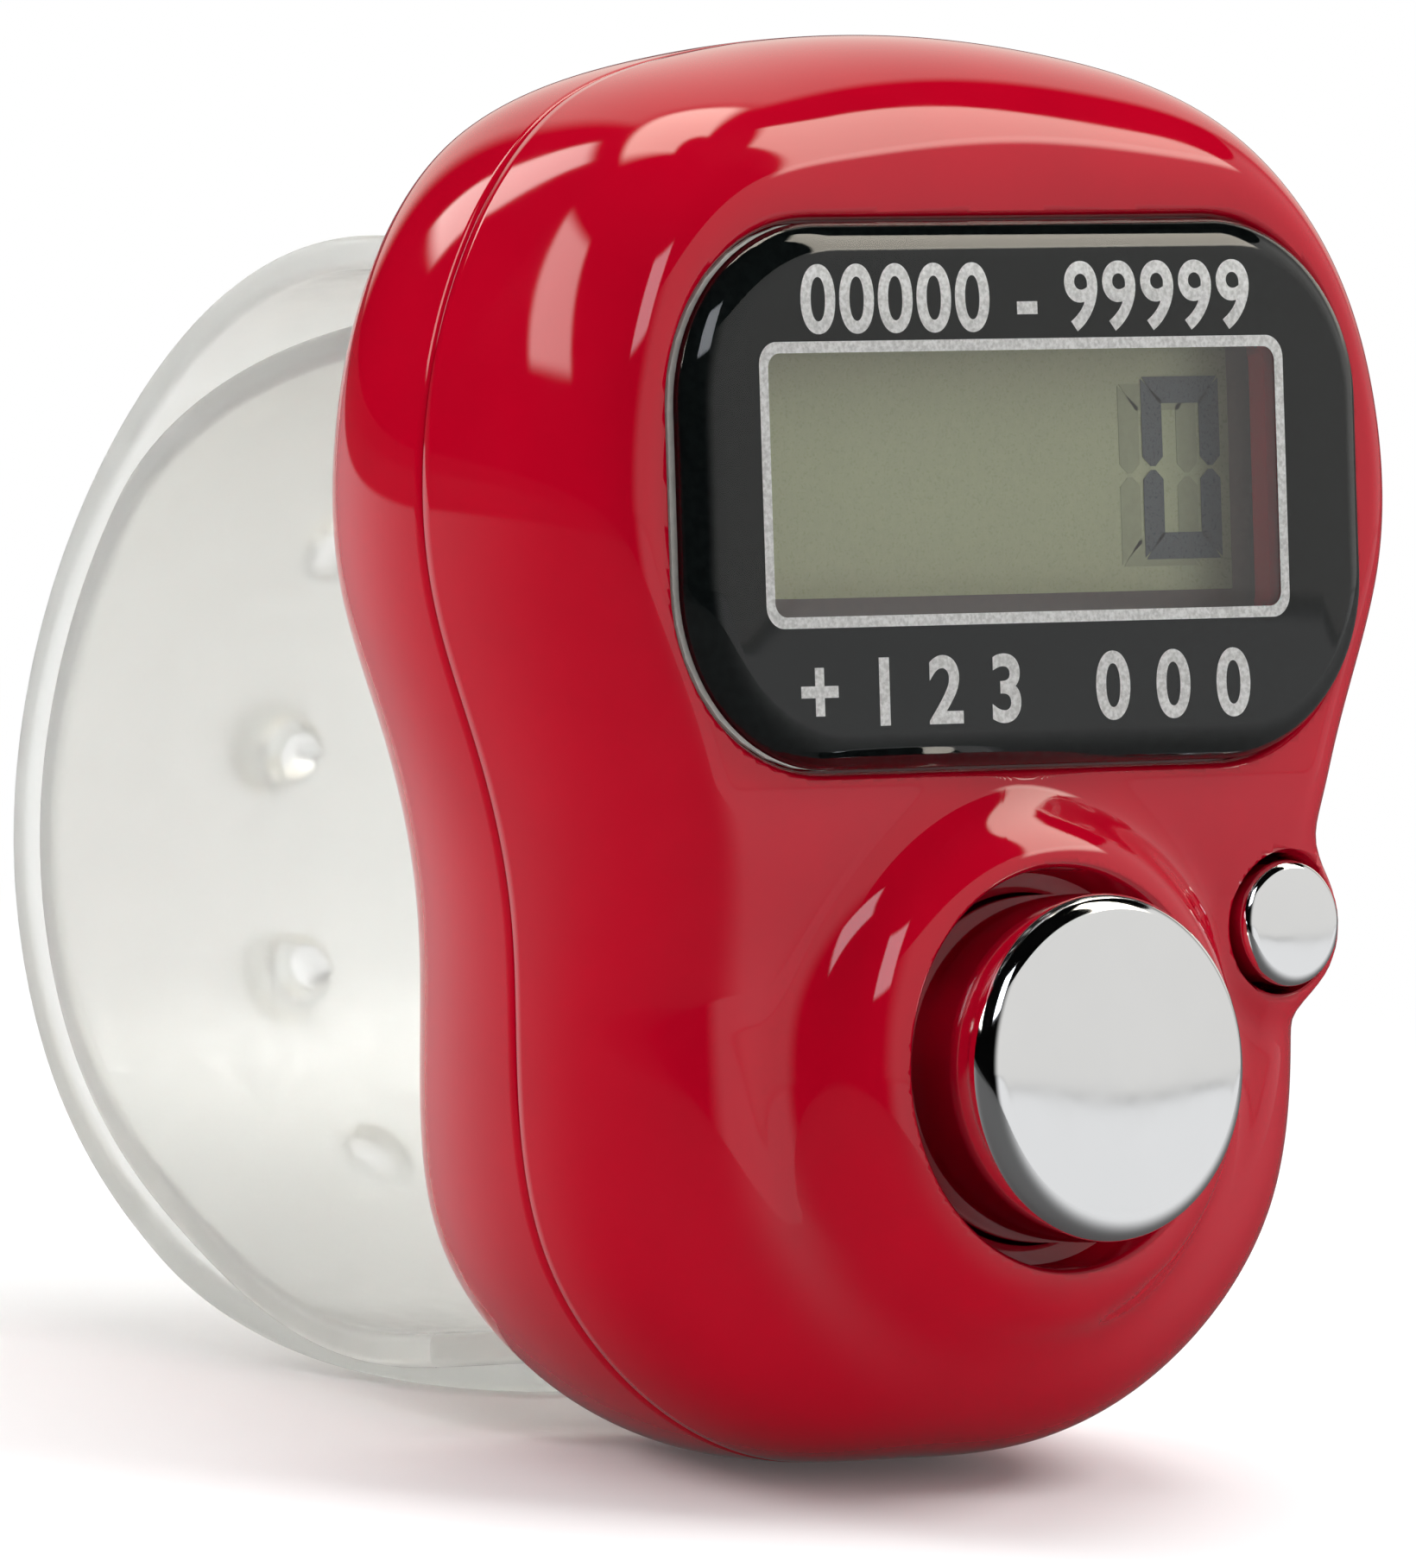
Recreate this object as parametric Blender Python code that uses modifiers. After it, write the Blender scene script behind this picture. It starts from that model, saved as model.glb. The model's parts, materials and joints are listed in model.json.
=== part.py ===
"""Finger-worn digital tally counter, about 38 mm tall, as an assembly of separate pieces.

Metres, +Z up, X to the right and Y to the back. Depths are measured backwards from the
printed face of the lens and heights from the lowest point of the body. Every piece hangs
from one empty, which puts the middle of the whole object's footprint at the origin.
"""

import math

import bmesh
import bpy
import numpy as np

# Body
BODY_HEIGHT = 0.038
BODY_WIDTH = 0.0292
FACE_DEPTH = 0.0002
FACE_DROP = 0.0010
FACE_DROP_END_SHARE = 0.3079
SEAM_DEPTH = 0.0071
BACK_DEPTH = 0.0139
FRONT_ROUNDING = 0.0044
BACK_ROUNDING = 0.0040
WALL = 0.0014
SEAM_GAP = 0.0002
SEAT_GAP = 0.0003
CUT_OVERRUN = 0.002
TONGUE_WALL = 0.0005
TONGUE_HEIGHT = 0.0009
TONGUE_ROOT = 0.0010

# Lens and display
LENS_SIDE_MARGIN = 0.00285
LENS_HEIGHT = 0.0144
LENS_THICKNESS = 0.0010
LENS_CORNER = 0.0049
LENS_EDGE_ROUNDING = 0.0005
LENS_PROUD = 0.0008
LENS_MIDDLE_SHARE = 0.6737
ADHESIVE_THICKNESS = 0.00015
ADHESIVE_WIDTH = 0.0014
WINDOW_BORDER = 0.0029
WINDOW_HEIGHT = 0.0070
WINDOW_RISE = 0.0003
GLASS_LAP = 0.00065
GLASS_HEIGHT = 0.0118
GLASS_LEDGE = 0.0020
FRONT_GLASS_THICKNESS = 0.0010
REAR_GLASS_THICKNESS = 0.0011
GLASS_RIB_WALL = 0.0005
GLASS_RIB_HEIGHT = 0.0009
STRIP_WIDTH = 0.0015
STRIP_LENGTH_SHARE = 0.95

# Count button, its boss and its switch
COUNT_HEIGHT_SHARE = 0.2724
COUNT_RADIUS = 0.0046
COUNT_PROUD = 0.0035
COUNT_EDGE_ROUNDING = 0.00065
COUNT_CROWN = 0.00008
COUNT_SHELL = 0.0009
COUNT_FLANGE = 0.0007
COUNT_FLANGE_THICKNESS = 0.0006
COUNT_STEM_RADIUS = 0.0012
BOSS_PROUD = 0.00125
BOSS_CREST_RADIUS = 0.0056
BOSS_BASE_RADIUS = 0.0088
BOSS_BASE_DEPTH = 0.0030
CRATER_RADIUS = 0.0053
CRATER_DEPTH = 0.0018
BORE_CLEARANCE = 0.00025
BOSS_ROOF = 0.0019
SWITCH_SIDE = 0.0060
SWITCH_PLAY = 0.00032
PLUNGER_RADIUS = 0.0016
PLUNGER_STANDS = 0.0007
PLUNGER_TRAVEL = 0.00052

# Reset button, its boss and its switch
RESET_OFFSET_SHARE = 0.6507
RESET_HEIGHT_SHARE = 0.3671
RESET_RADIUS = 0.0017
RESET_DEPTH = 0.0003
RESET_EDGE_ROUNDING = 0.00035
RESET_CAP_LENGTH = 0.0023
RESET_FOOT_LENGTH = 0.0030
RESET_FOOT_WIDTH = 0.0024
RESET_FOOT_THICKNESS = 0.0008
RESET_TRAVEL = 0.0006
RESET_BOSS_RADIUS = 0.00235
RESET_BOSS_DEPTH = 0.0009
RESET_BOSS_LENGTH = 0.0048
RESET_SLEEVE_BACK = 0.0042
RESET_SWITCH_SIDE = 0.0030
RESET_SWITCH_THICKNESS = 0.0015
RESET_PLUNGER_RADIUS = 0.00075
RESET_PLUNGER_TRAVEL = 0.00033

# Board, chip and cell
BOARD_THICKNESS = 0.0008
CHIP_RADIUS = 0.0030
CHIP_THICKNESS = 0.0010
CHIP_HEIGHT_SHARE = 0.2421
CAPACITOR_LENGTH = 0.0020
CAPACITOR_WIDTH = 0.0012
CAPACITOR_THICKNESS = 0.0009
CELL_RADIUS = 0.0058
CELL_THICKNESS = 0.0030
CELL_STEP = 0.0006
CELL_HEIGHT_SHARE = 0.5658
POCKET_WALL = 0.0007
POCKET_DEPTH = 0.0022
CONTACT_THICKNESS = 0.00025
CONTACT_WIDTH = 0.0036
CONTACT_REACH = 0.0035
CONTACT_STEP = 0.0012

# Screws and their posts
CASE_SCREW_OFFSET_SHARE = 0.5822
CASE_SCREW_HEIGHT_SHARE = 0.4526
CASE_POST_RADIUS = 0.0014
CASE_BOSS_RADIUS = 0.0020
CASE_BOSS_LENGTH = 0.0040
CASE_HEAD_RADIUS = 0.00125
CASE_HEAD_THICKNESS = 0.0008
CASE_SHANK_RADIUS = 0.0006
CASE_SHANK_LENGTH = 0.0072
BOARD_SCREW_OFFSET_SHARE = 0.411
BOARD_SCREW_HEIGHT_SHARE = 0.8789
SIDE_SCREW_OFFSET_SHARE = 0.589
SIDE_SCREW_HEIGHT_SHARE = 0.3289
BOARD_POST_RADIUS = 0.0013
BOARD_HEAD_RADIUS = 0.0011
BOARD_HEAD_THICKNESS = 0.0006
BOARD_SHANK_RADIUS = 0.0005
BOARD_SHANK_LENGTH = 0.0040
SCREW_CLEARANCE = 0.00015
SLOT_WIDTH = 0.0004

# Strap: the upper half lies outside and has holes, the lower half inside it has pegs
STRAP_WIDTH = 0.0178
STRAP_THICKNESS = 0.0009
STRAP_EDGE_ROUNDING = 0.00022
LAYER_GAP = 0.00025
STRAP_BACK = 0.0324
STRAP_TOP_SHARE = 0.8711
STRAP_BOTTOM_SHARE = 0.0737
STRAP_TAB_WIDTH = 0.0090
STRAP_SHOULDER = 0.0010
STRAP_BEAD_HEIGHT = 0.0026
STRAP_BEAD_THICKNESS = 0.0012
HOLES = 4
PEGGED_HOLES = (2, 3)
HOLE_PITCH = 0.0060
HOLE_RADIUS = 0.00095
PEG_NECK_RADIUS = 0.00065
PEG_HEAD_RADIUS = 0.0012
PEG_HEAD_THICKNESS = 0.0007

# Outline of the body at the seam, right half from the top down: shares of half the width
# and of the height, and shares of the front and the back rounding there
OUTLINE_SHARES = (
    (0.0, 1.0, 1.0, 0.80),
    (0.38, 0.987, 0.95, 0.80),
    (0.66, 0.952, 0.77, 0.82),
    (0.863, 0.869, 0.55, 0.90),
    (0.988, 0.742, 0.50, 1.0),
    (0.986, 0.611, 0.50, 1.0),
    (0.890, 0.500, 0.55, 1.0),
    (0.829, 0.395, 0.64, 0.95),
    (0.825, 0.268, 0.73, 0.85),
    (0.774, 0.155, 0.86, 0.75),
    (0.562, 0.055, 0.95, 0.72),
    (0.274, 0.005, 1.0, 0.72),
    (0.0, 0.0, 1.0, 0.72),
)

# Meeting line of the two strap halves, seen from the side: shares of the way from the back
# of the body to the back of the line, and of the way from its bottom to its top
LOOP_SHARES = (
    (-0.17, 0.993),
    (-0.05, 0.993),
    (0.04, 0.996),
    (0.169, 1.0),
    (0.351, 0.984),
    (0.518, 0.940),
    (0.666, 0.873),
    (0.791, 0.792),
    (0.891, 0.699),
    (0.960, 0.596),
    (0.989, 0.488),
    (0.970, 0.378),
    (0.903, 0.275),
    (0.790, 0.188),
    (0.648, 0.118),
    (0.492, 0.058),
    (0.320, 0.016),
    (0.138, 0.0),
    (0.04, 0.0),
    (-0.05, 0.0),
    (-0.17, 0.0),
)
UPPER_END_SHARE = 0.878
LOWER_END_SHARE = 0.164
FIRST_HOLE_SHARE = 0.357

# Shape of the body's skin
ROUNDING_EXPONENT = 0.9
CAVITY_ROUNDING_SHARE = 0.6
FACE_RING_SHARES = (0.7, 0.35)
POLE_HEIGHT_SHARE = 0.5

# Fineness of the meshes
RING_POINTS = 64
ROUND_STEPS = 5
CORNER_STEPS = 8
EDGE_STEPS = 4
TURN_STEPS = 40
CAP_STEPS = 32
POST_STEPS = 24
PIN_STEPS = 16
SPLINE_STEPS = 40
LOOP_POINTS = 97
STRAP_ROWS = 22
STRAP_TIP_ROWS = 7
STRAP_COLUMNS = 8
BEVEL_STEPS = 2
BEVEL_ANGLE = math.radians(60)
SHARP_ANGLE = math.radians(35)
MERGE_DISTANCE = 0.00001

# Values that follow from the ones above
FORWARD = math.pi / 2
HALF_WIDTH = BODY_WIDTH / 2
FACE_DROP_END = FACE_DROP_END_SHARE * BODY_HEIGHT
LENS_WIDTH = BODY_WIDTH - 2 * LENS_SIDE_MARGIN
LENS_MIDDLE_HEIGHT = LENS_MIDDLE_SHARE * BODY_HEIGHT
WINDOW_WIDTH = LENS_WIDTH - 2 * WINDOW_BORDER
WINDOW_MIDDLE_HEIGHT = LENS_MIDDLE_HEIGHT + WINDOW_RISE
GLASS_WIDTH = WINDOW_WIDTH + 2 * GLASS_LAP
COUNT_HEIGHT = COUNT_HEIGHT_SHARE * BODY_HEIGHT
RESET_OFFSET = RESET_OFFSET_SHARE * HALF_WIDTH
RESET_HEIGHT = RESET_HEIGHT_SHARE * BODY_HEIGHT
CHIP_HEIGHT = CHIP_HEIGHT_SHARE * BODY_HEIGHT
CELL_HEIGHT = CELL_HEIGHT_SHARE * BODY_HEIGHT
CASE_SCREW_OFFSET = CASE_SCREW_OFFSET_SHARE * HALF_WIDTH
CASE_SCREW_HEIGHT = CASE_SCREW_HEIGHT_SHARE * BODY_HEIGHT
BOARD_SCREW_OFFSET = BOARD_SCREW_OFFSET_SHARE * HALF_WIDTH
BOARD_SCREW_HEIGHT = BOARD_SCREW_HEIGHT_SHARE * BODY_HEIGHT
SIDE_SCREW_OFFSET = SIDE_SCREW_OFFSET_SHARE * HALF_WIDTH
SIDE_SCREW_HEIGHT = SIDE_SCREW_HEIGHT_SHARE * BODY_HEIGHT
STRAP_TOP = STRAP_TOP_SHARE * BODY_HEIGHT
STRAP_BOTTOM = STRAP_BOTTOM_SHARE * BODY_HEIGHT
INNER_FACE = FACE_DEPTH + WALL
INNER_BACK = BACK_DEPTH - WALL
BOARD_BACK = SEAM_DEPTH
BOARD_FRONT = BOARD_BACK - BOARD_THICKNESS
SWITCH_BACK = BOARD_FRONT - SEAT_GAP
LENS_BOTTOM = LENS_MIDDLE_HEIGHT - LENS_HEIGHT / 2
LENS_BACK = LENS_THICKNESS - LENS_PROUD
RECESS_DEPTH = LENS_BACK + ADHESIVE_THICKNESS + 2 * SEAM_GAP
FRONT_END = SEAM_DEPTH - SEAM_GAP / 2
REAR_END = SEAM_DEPTH + SEAM_GAP / 2
COUNT_AT = (0, COUNT_HEIGHT)
RESET_AT = (RESET_OFFSET, RESET_HEIGHT)
RESET_SWITCH_AT = (RESET_OFFSET - RESET_SWITCH_SIDE / 2, RESET_HEIGHT)
CASE_SCREWS = ((-CASE_SCREW_OFFSET, CASE_SCREW_HEIGHT), (CASE_SCREW_OFFSET, CASE_SCREW_HEIGHT))
BOARD_SCREWS = (
    (-BOARD_SCREW_OFFSET, BOARD_SCREW_HEIGHT),
    (BOARD_SCREW_OFFSET, BOARD_SCREW_HEIGHT),
    (-SIDE_SCREW_OFFSET, SIDE_SCREW_HEIGHT),
)
BORE_RADIUS = COUNT_RADIUS + BORE_CLEARANCE
BORE_SEAT = BOSS_ROOF - BOSS_PROUD
FLANGE_FRONT = BORE_SEAT + SEAT_GAP
FLANGE_BACK = FLANGE_FRONT + COUNT_FLANGE_THICKNESS
COUNT_STEM_END = FLANGE_BACK + COUNT_FLANGE_THICKNESS
PLUNGER_FRONT = COUNT_STEM_END + SWITCH_PLAY
SWITCH_FRONT = PLUNGER_FRONT + PLUNGER_STANDS
RESET_CAP_BACK = RESET_DEPTH + RESET_CAP_LENGTH
RESET_FOOT_BACK = RESET_CAP_BACK + RESET_FOOT_THICKNESS
RESET_PLUNGER_FRONT = RESET_FOOT_BACK + SWITCH_PLAY
GLASS_FRONT = INNER_FACE + SEAT_GAP
LEDGE_BACK = GLASS_FRONT + FRONT_GLASS_THICKNESS
GLASS_BACK = LEDGE_BACK + REAR_GLASS_THICKNESS
RIB_BACK = GLASS_FRONT + GLASS_RIB_HEIGHT
GLASS_TOP = LENS_MIDDLE_HEIGHT + GLASS_HEIGHT / 2
GLASS_BOTTOM = LENS_MIDDLE_HEIGHT - GLASS_HEIGHT / 2
NEGATIVE_FRONT = BOARD_BACK + SEAT_GAP
CELL_FRONT = NEGATIVE_FRONT + 2 * CONTACT_THICKNESS + 2 * SEAT_GAP
CELL_BACK = CELL_FRONT + CELL_THICKNESS
POSITIVE_BACK = CELL_BACK + SEAT_GAP + CONTACT_THICKNESS
BEAD_FRONT = INNER_BACK - SEAT_GAP - STRAP_BEAD_THICKNESS

# Colours
LENS_BLACK = (0.01, 0.012, 0.013)
CRIMSON = (0.42, 0.004, 0.012)
CHROME = (0.78, 0.80, 0.80)
MILKY = (0.72, 0.75, 0.72)
GLASS_GREY = (0.26, 0.29, 0.20)
RUBBER_BLACK = (0.03, 0.03, 0.03)
BOARD_GREEN = (0.02, 0.14, 0.05)
STEEL = (0.55, 0.55, 0.56)
BRASS = (0.70, 0.52, 0.20)
TAPE_WHITE = (0.75, 0.74, 0.68)


def clear_scene():
    for old in list(bpy.data.objects):
        bpy.data.objects.remove(old, do_unlink=True)


def make_collection(name, hidden=False):
    collection = bpy.data.collections.new(name)
    collection.hide_render = hidden
    bpy.context.scene.collection.children.link(collection)
    return collection


clear_scene()
PARTS = make_collection("digital_tally_counter")
CUTTERS = make_collection("cutters", hidden=True)
FRAME = bpy.data.objects.new("counter_frame", None)
PARTS.objects.link(FRAME)


def material(name, colour, roughness, metallic=0.0, transmission=0.0):
    made = bpy.data.materials.new(name)
    made.use_nodes = True
    shader = made.node_tree.nodes["Principled BSDF"]
    shader.inputs["Base Color"].default_value = (*colour, 1.0)
    shader.inputs["Roughness"].default_value = roughness
    shader.inputs["Metallic"].default_value = metallic
    shader.inputs["Transmission Weight"].default_value = transmission
    return made


def place(name, mesh, look=None, at=(0, 0, 0), tilt=0):
    """An object under the frame, tilted about X: a part with a material, or a cutter
    without one."""
    made = bpy.data.objects.new(name, mesh)
    made.parent = FRAME
    made.location = at
    made.rotation_euler.x = tilt
    if look:
        mesh.materials.append(look)
        PARTS.objects.link(made)
    else:
        made.hide_render = True
        made.display_type = "WIRE"
        CUTTERS.objects.link(made)
    return made


def finish_mesh(name, shape, smooth=True):
    bmesh.ops.recalc_face_normals(shape, faces=shape.faces)
    mesh = bpy.data.meshes.new(name)
    shape.to_mesh(mesh)
    shape.free()
    if smooth:
        mesh.shade_smooth()
        mesh.set_sharp_from_angle(angle=SHARP_ANGLE)
    return mesh


def boolean(target, tool, operation):
    cut = target.modifiers.new(f"{operation.lower()} {tool.name}", "BOOLEAN")
    cut.operation = operation
    cut.solver = "EXACT"
    cut.object = tool


def join_all(target, tools):
    for tool in tools:
        boolean(target, tool, "UNION")


def cut_all(target, tools):
    for tool in tools:
        boolean(target, tool, "DIFFERENCE")


def skin(name, rings, pole=None):
    """A closed mesh over rings of equal counts, capped flat or, at its end, at a pole."""
    shape = bmesh.new()
    rows = [[shape.verts.new(point) for point in ring] for ring in rings]
    for row, following in zip(rows, rows[1:]):
        for i in range(len(row)):
            shape.faces.new((row[i - 1], row[i], following[i], following[i - 1]))
    shape.faces.new(rows[0])
    if pole is None:
        shape.faces.new(rows[-1])
    else:
        tip = shape.verts.new(pole)
        for i in range(len(rows[-1])):
            shape.faces.new((rows[-1][i - 1], rows[-1][i], tip))
    return finish_mesh(name, shape)


def box_mesh(name, low, high):
    shape = bmesh.new()
    bmesh.ops.create_cube(shape, size=1)
    for vertex in shape.verts:
        vertex.co = [low[i] if vertex.co[i] < 0 else high[i] for i in range(3)]
    return finish_mesh(name, shape, smooth=False)


def rod_mesh(name, radius, near, far, at, steps=TURN_STEPS):
    """A cylinder along Y from depth near to depth far, centred at (x, height)."""
    x, height = at
    rings = []
    for depth in (near, far):
        rings.append([
            (x + radius * math.cos(turn), depth, height + radius * math.sin(turn))
            for turn in (2 * math.pi * i / steps for i in range(steps))
        ])
    return skin(name, rings)


def turned_mesh(name, profile):
    """Profile of (radius, distance in front of the lens's print), from the front down."""
    shape = bmesh.new()
    points = [shape.verts.new((radius, 0, forward)) for radius, forward in profile]
    for first, second in zip(points, points[1:]):
        shape.edges.new((first, second))
    mesh = bpy.data.meshes.new(name)
    shape.to_mesh(mesh)
    shape.free()
    return mesh


def turned(name, profile, at, look=None, steps=TURN_STEPS, tilt=FORWARD):
    """A turned piece: at (x, height) about the Y axis, or at (x, depth, height) tilted."""
    if len(at) == 2:
        at = (at[0], 0, at[1])
    made = place(name, turned_mesh(name, profile), look, at, tilt)
    screw = made.modifiers.new("turned", "SCREW")
    screw.steps = steps
    screw.render_steps = steps
    screw.use_merge_vertices = True
    screw.merge_threshold = MERGE_DISTANCE
    screw.use_smooth_shade = True
    return made


def arc(centre_radius, centre_forward, size):
    """Points of a turned profile's rounded edge, from its top round to its side."""
    return [
        (centre_radius + size * math.sin(turn), centre_forward + size * math.cos(turn))
        for turn in np.linspace(0, math.pi / 2, EDGE_STEPS + 1)
    ]


def spline(keys, count, closed):
    """Evenly spaced points of a smooth curve through the keys, with its bending continuous."""
    keys = np.asarray(keys, float)
    following = np.roll(keys, -1, axis=0)
    lengths = np.linalg.norm((following - keys)[:, :2], axis=1)
    before = np.roll(lengths, 1)
    slopes = (following - keys) / lengths[:, None]
    size = len(keys)
    matrix = np.diag(2 * (before + lengths))
    for i in range(size):
        matrix[i, i - 1] += before[i]
        matrix[i, (i + 1) % size] += lengths[i]
    right = 6 * (slopes - np.roll(slopes, 1, axis=0))
    if not closed:
        for i in (0, size - 1):
            matrix[i] = 0
            matrix[i, i] = 1
            right[i] = 0
    bend = np.linalg.solve(matrix, right)
    dense = []
    for i in range(size if closed else size - 1):
        after = (i + 1) % size
        for t in np.linspace(0, 1, SPLINE_STEPS, endpoint=False):
            straight = keys[i] * (1 - t) + keys[after] * t
            pull = bend[i] * ((1 - t) ** 3 - (1 - t)) + bend[after] * (t**3 - t)
            dense.append(straight + pull * lengths[i] ** 2 / 6)
    dense.append(keys[0] if closed else keys[-1])
    dense = np.array(dense)
    run = np.linalg.norm(np.diff(dense[:, :2], axis=0), axis=1)
    run = np.concatenate([[0], np.cumsum(run)])
    wanted = np.linspace(0, run[-1], count, endpoint=not closed)
    return np.stack([np.interp(wanted, run, column) for column in dense.T], axis=1)


def rounded_rectangle(width, height, corner):
    """Points (x, z) of a rounded rectangle about its middle."""
    points = []
    for quarter, (side, up) in enumerate(((1, 1), (-1, 1), (-1, -1), (1, -1))):
        for i in range(CORNER_STEPS + 1):
            turn = math.pi / 2 * (quarter + i / CORNER_STEPS)
            points.append((
                side * (width / 2 - corner) + corner * math.cos(turn),
                up * (height / 2 - corner) + corner * math.sin(turn),
            ))
    return points


def face_depth(height):
    """Depth of the front face: flat behind the lens, and further back below it."""
    start = LENS_BOTTOM - SEAT_GAP
    share = min(max((start - height) / (start - FACE_DROP_END), 0), 1)
    return FACE_DEPTH + FACE_DROP * share * share * (3 - 2 * share)


def body_outline():
    """Seam outline as (x, z, front rounding, back rounding) and its inward directions."""
    half = [
        (x * HALF_WIDTH, z * BODY_HEIGHT, front * FRONT_ROUNDING, back * BACK_ROUNDING)
        for x, z, front, back in OUTLINE_SHARES
    ]
    mirrored = [(-x, *others) for x, *others in half[-2:0:-1]]
    points = spline(half + mirrored, RING_POINTS, closed=True)
    along = np.roll(points, -1, axis=0)[:, :2] - np.roll(points, 1, axis=0)[:, :2]
    inward = np.stack([along[:, 1], -along[:, 0]], axis=1)
    inward /= np.linalg.norm(inward, axis=1)[:, None]
    if inward[0, 1] > 0:
        inward = -inward
    return points, inward


def loop_line():
    """Evenly spaced (depth, height) points of the line where the strap halves meet, from
    the top of the body round to its bottom, and the outward directions there."""
    back = STRAP_BACK - STRAP_THICKNESS - LAYER_GAP
    top = STRAP_TOP - STRAP_THICKNESS - LAYER_GAP
    keys = [
        (BACK_DEPTH + (back - BACK_DEPTH) * y, STRAP_BOTTOM + (top - STRAP_BOTTOM) * z)
        for y, z in LOOP_SHARES
    ]
    points = spline(keys, LOOP_POINTS, closed=False)
    outside = points[:, 0] > BACK_DEPTH
    reach = points[outside, 0].max()
    points[outside, 0] = BACK_DEPTH + (points[outside, 0] - BACK_DEPTH) * (
        (back - BACK_DEPTH) / (reach - BACK_DEPTH)
    )
    along = np.gradient(points, axis=0)
    outward = np.stack([-along[:, 1], along[:, 0]], axis=1)
    outward /= np.linalg.norm(outward, axis=1)[:, None]
    return points, outward


OUTLINE, INWARD = body_outline()
LOOP, OUTWARD = loop_line()
LOOP_RUN = np.concatenate(
    [[0], np.cumsum(np.linalg.norm(np.diff(LOOP, axis=0), axis=1))]
)
UPPER_ROOT = LOOP[0, 1] + LAYER_GAP + STRAP_THICKNESS / 2
LOWER_ROOT = LOOP[-1, 1] + STRAP_THICKNESS / 2


def flat_ring(inset, depth):
    """The body's outline, moved in by the inset, at one depth."""
    points = OUTLINE[:, :2] + INWARD * inset
    return [(x, depth, z) for x, z in points]


def rounded_ring(inset, turn, towards_back, share=1.0):
    """A ring of the skin that lies the inset inside the body: turn 0 is at the seam and
    turn 1 at the edge of the flat face or back."""
    out = math.cos(turn * math.pi / 2) ** ROUNDING_EXPONENT
    deep = math.sin(turn * math.pi / 2) ** ROUNDING_EXPONENT
    ring = []
    for (x, z, front, back), (nx, nz) in zip(OUTLINE, INWARD):
        rounding = back if towards_back else front
        move = inset + rounding * share * (1 - out)
        height = z + nz * move
        end = BACK_DEPTH - inset if towards_back else face_depth(height) + inset
        ring.append((x + nx * move, SEAM_DEPTH + (end - SEAM_DEPTH) * deep, height))
    return ring


def half_body(name, inset, towards_back, start, share=1.0):
    """Front or rear half of the body's skin, closed flat at the start depth."""
    turns = [i / ROUND_STEPS for i in range(ROUND_STEPS + 1)]
    rings = [flat_ring(inset, start)]
    rings += [rounded_ring(inset, turn, towards_back, share) for turn in turns[1:]]
    if towards_back:
        return skin(name, rings)
    pole = BODY_HEIGHT * POLE_HEIGHT_SHARE
    edge = rings[-1]
    for size in FACE_RING_SHARES:
        heights = [pole + (z - pole) * size for x, y, z in edge]
        rings.append([
            (x * size, face_depth(z) + inset, z)
            for (x, y, _), z in zip(edge, heights)
        ])
    return skin(name, rings, (0, face_depth(pole) + inset, pole))


def prism(name, inset, near, far):
    return skin(name, [flat_ring(inset, near), flat_ring(inset, far)])


def plate(name, points, middle_height, near, far):
    """A flat outline of (x, z) points about a middle height, from one depth to another."""
    rings = [[(x, depth, middle_height + z) for x, z in points] for depth in (near, far)]
    return skin(name, rings)


def boss_profile():
    """Rounded cone round the count button, sunk into the body at its base."""
    crest = BOSS_CREST_RADIUS
    rise = BOSS_PROUD + BOSS_BASE_DEPTH
    spread = BOSS_BASE_RADIUS - crest
    points = [(0, BOSS_PROUD)]
    for turn in np.linspace(0, math.pi / 2, CORNER_STEPS):
        points.append((
            crest + spread * math.sin(turn),
            BOSS_PROUD - rise * (1 - math.cos(turn)),
        ))
    points.append((0, -BOSS_BASE_DEPTH))
    return points


def reset_boss_profile():
    """Low collar round the reset button, whose side runs into the body's flank."""
    top = -RESET_BOSS_DEPTH
    corner = RESET_EDGE_ROUNDING
    return [
        (0, top),
        *arc(RESET_BOSS_RADIUS - corner, top - corner, corner),
        (RESET_BOSS_RADIUS, top - RESET_BOSS_LENGTH),
        (0, top - RESET_BOSS_LENGTH),
    ]


def crater_profile():
    """Dish in the top of the boss and the bore below it."""
    lip = CRATER_RADIUS - BORE_RADIUS
    return [
        (0, BOSS_PROUD + CUT_OVERRUN),
        (CRATER_RADIUS + lip, BOSS_PROUD + CUT_OVERRUN),
        (CRATER_RADIUS, BOSS_PROUD - lip),
        (BORE_RADIUS, BOSS_PROUD - CRATER_DEPTH),
        (BORE_RADIUS, -INNER_FACE - CUT_OVERRUN),
        (0, -INNER_FACE - CUT_OVERRUN),
    ]


def rods(name, places, radius, near, far, steps):
    """A cutter or post along Y at each of the places."""
    return [
        place(f"{name}_{number}", rod_mesh(f"{name}_{number}", radius, near, far, at, steps))
        for number, at in enumerate(places, start=1)
    ]


def front_posts():
    """What stands in the hollow of the front shell: posts, the reset sleeve and a rib."""
    board_end = BOARD_FRONT - SEAT_GAP
    rib_width = GLASS_WIDTH + 2 * (SEAT_GAP + GLASS_RIB_WALL)
    rib_height = GLASS_HEIGHT + 2 * (SEAT_GAP + GLASS_RIB_WALL)
    rib = box_mesh(
        "glass_rib",
        (-rib_width / 2, 0, LENS_MIDDLE_HEIGHT - rib_height / 2),
        (rib_width / 2, RIB_BACK, LENS_MIDDLE_HEIGHT + rib_height / 2),
    )
    sleeve = RESET_BOSS_RADIUS + SEAM_GAP
    return [
        *rods("reset_sleeve", [RESET_AT], sleeve, 0, RESET_SLEEVE_BACK, TURN_STEPS),
        *rods("case_post", CASE_SCREWS, CASE_POST_RADIUS, 0, FRONT_END, POST_STEPS),
        *rods("board_post", BOARD_SCREWS, BOARD_POST_RADIUS, 0, board_end, POST_STEPS),
        place("glass_rib", rib),
    ]


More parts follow.
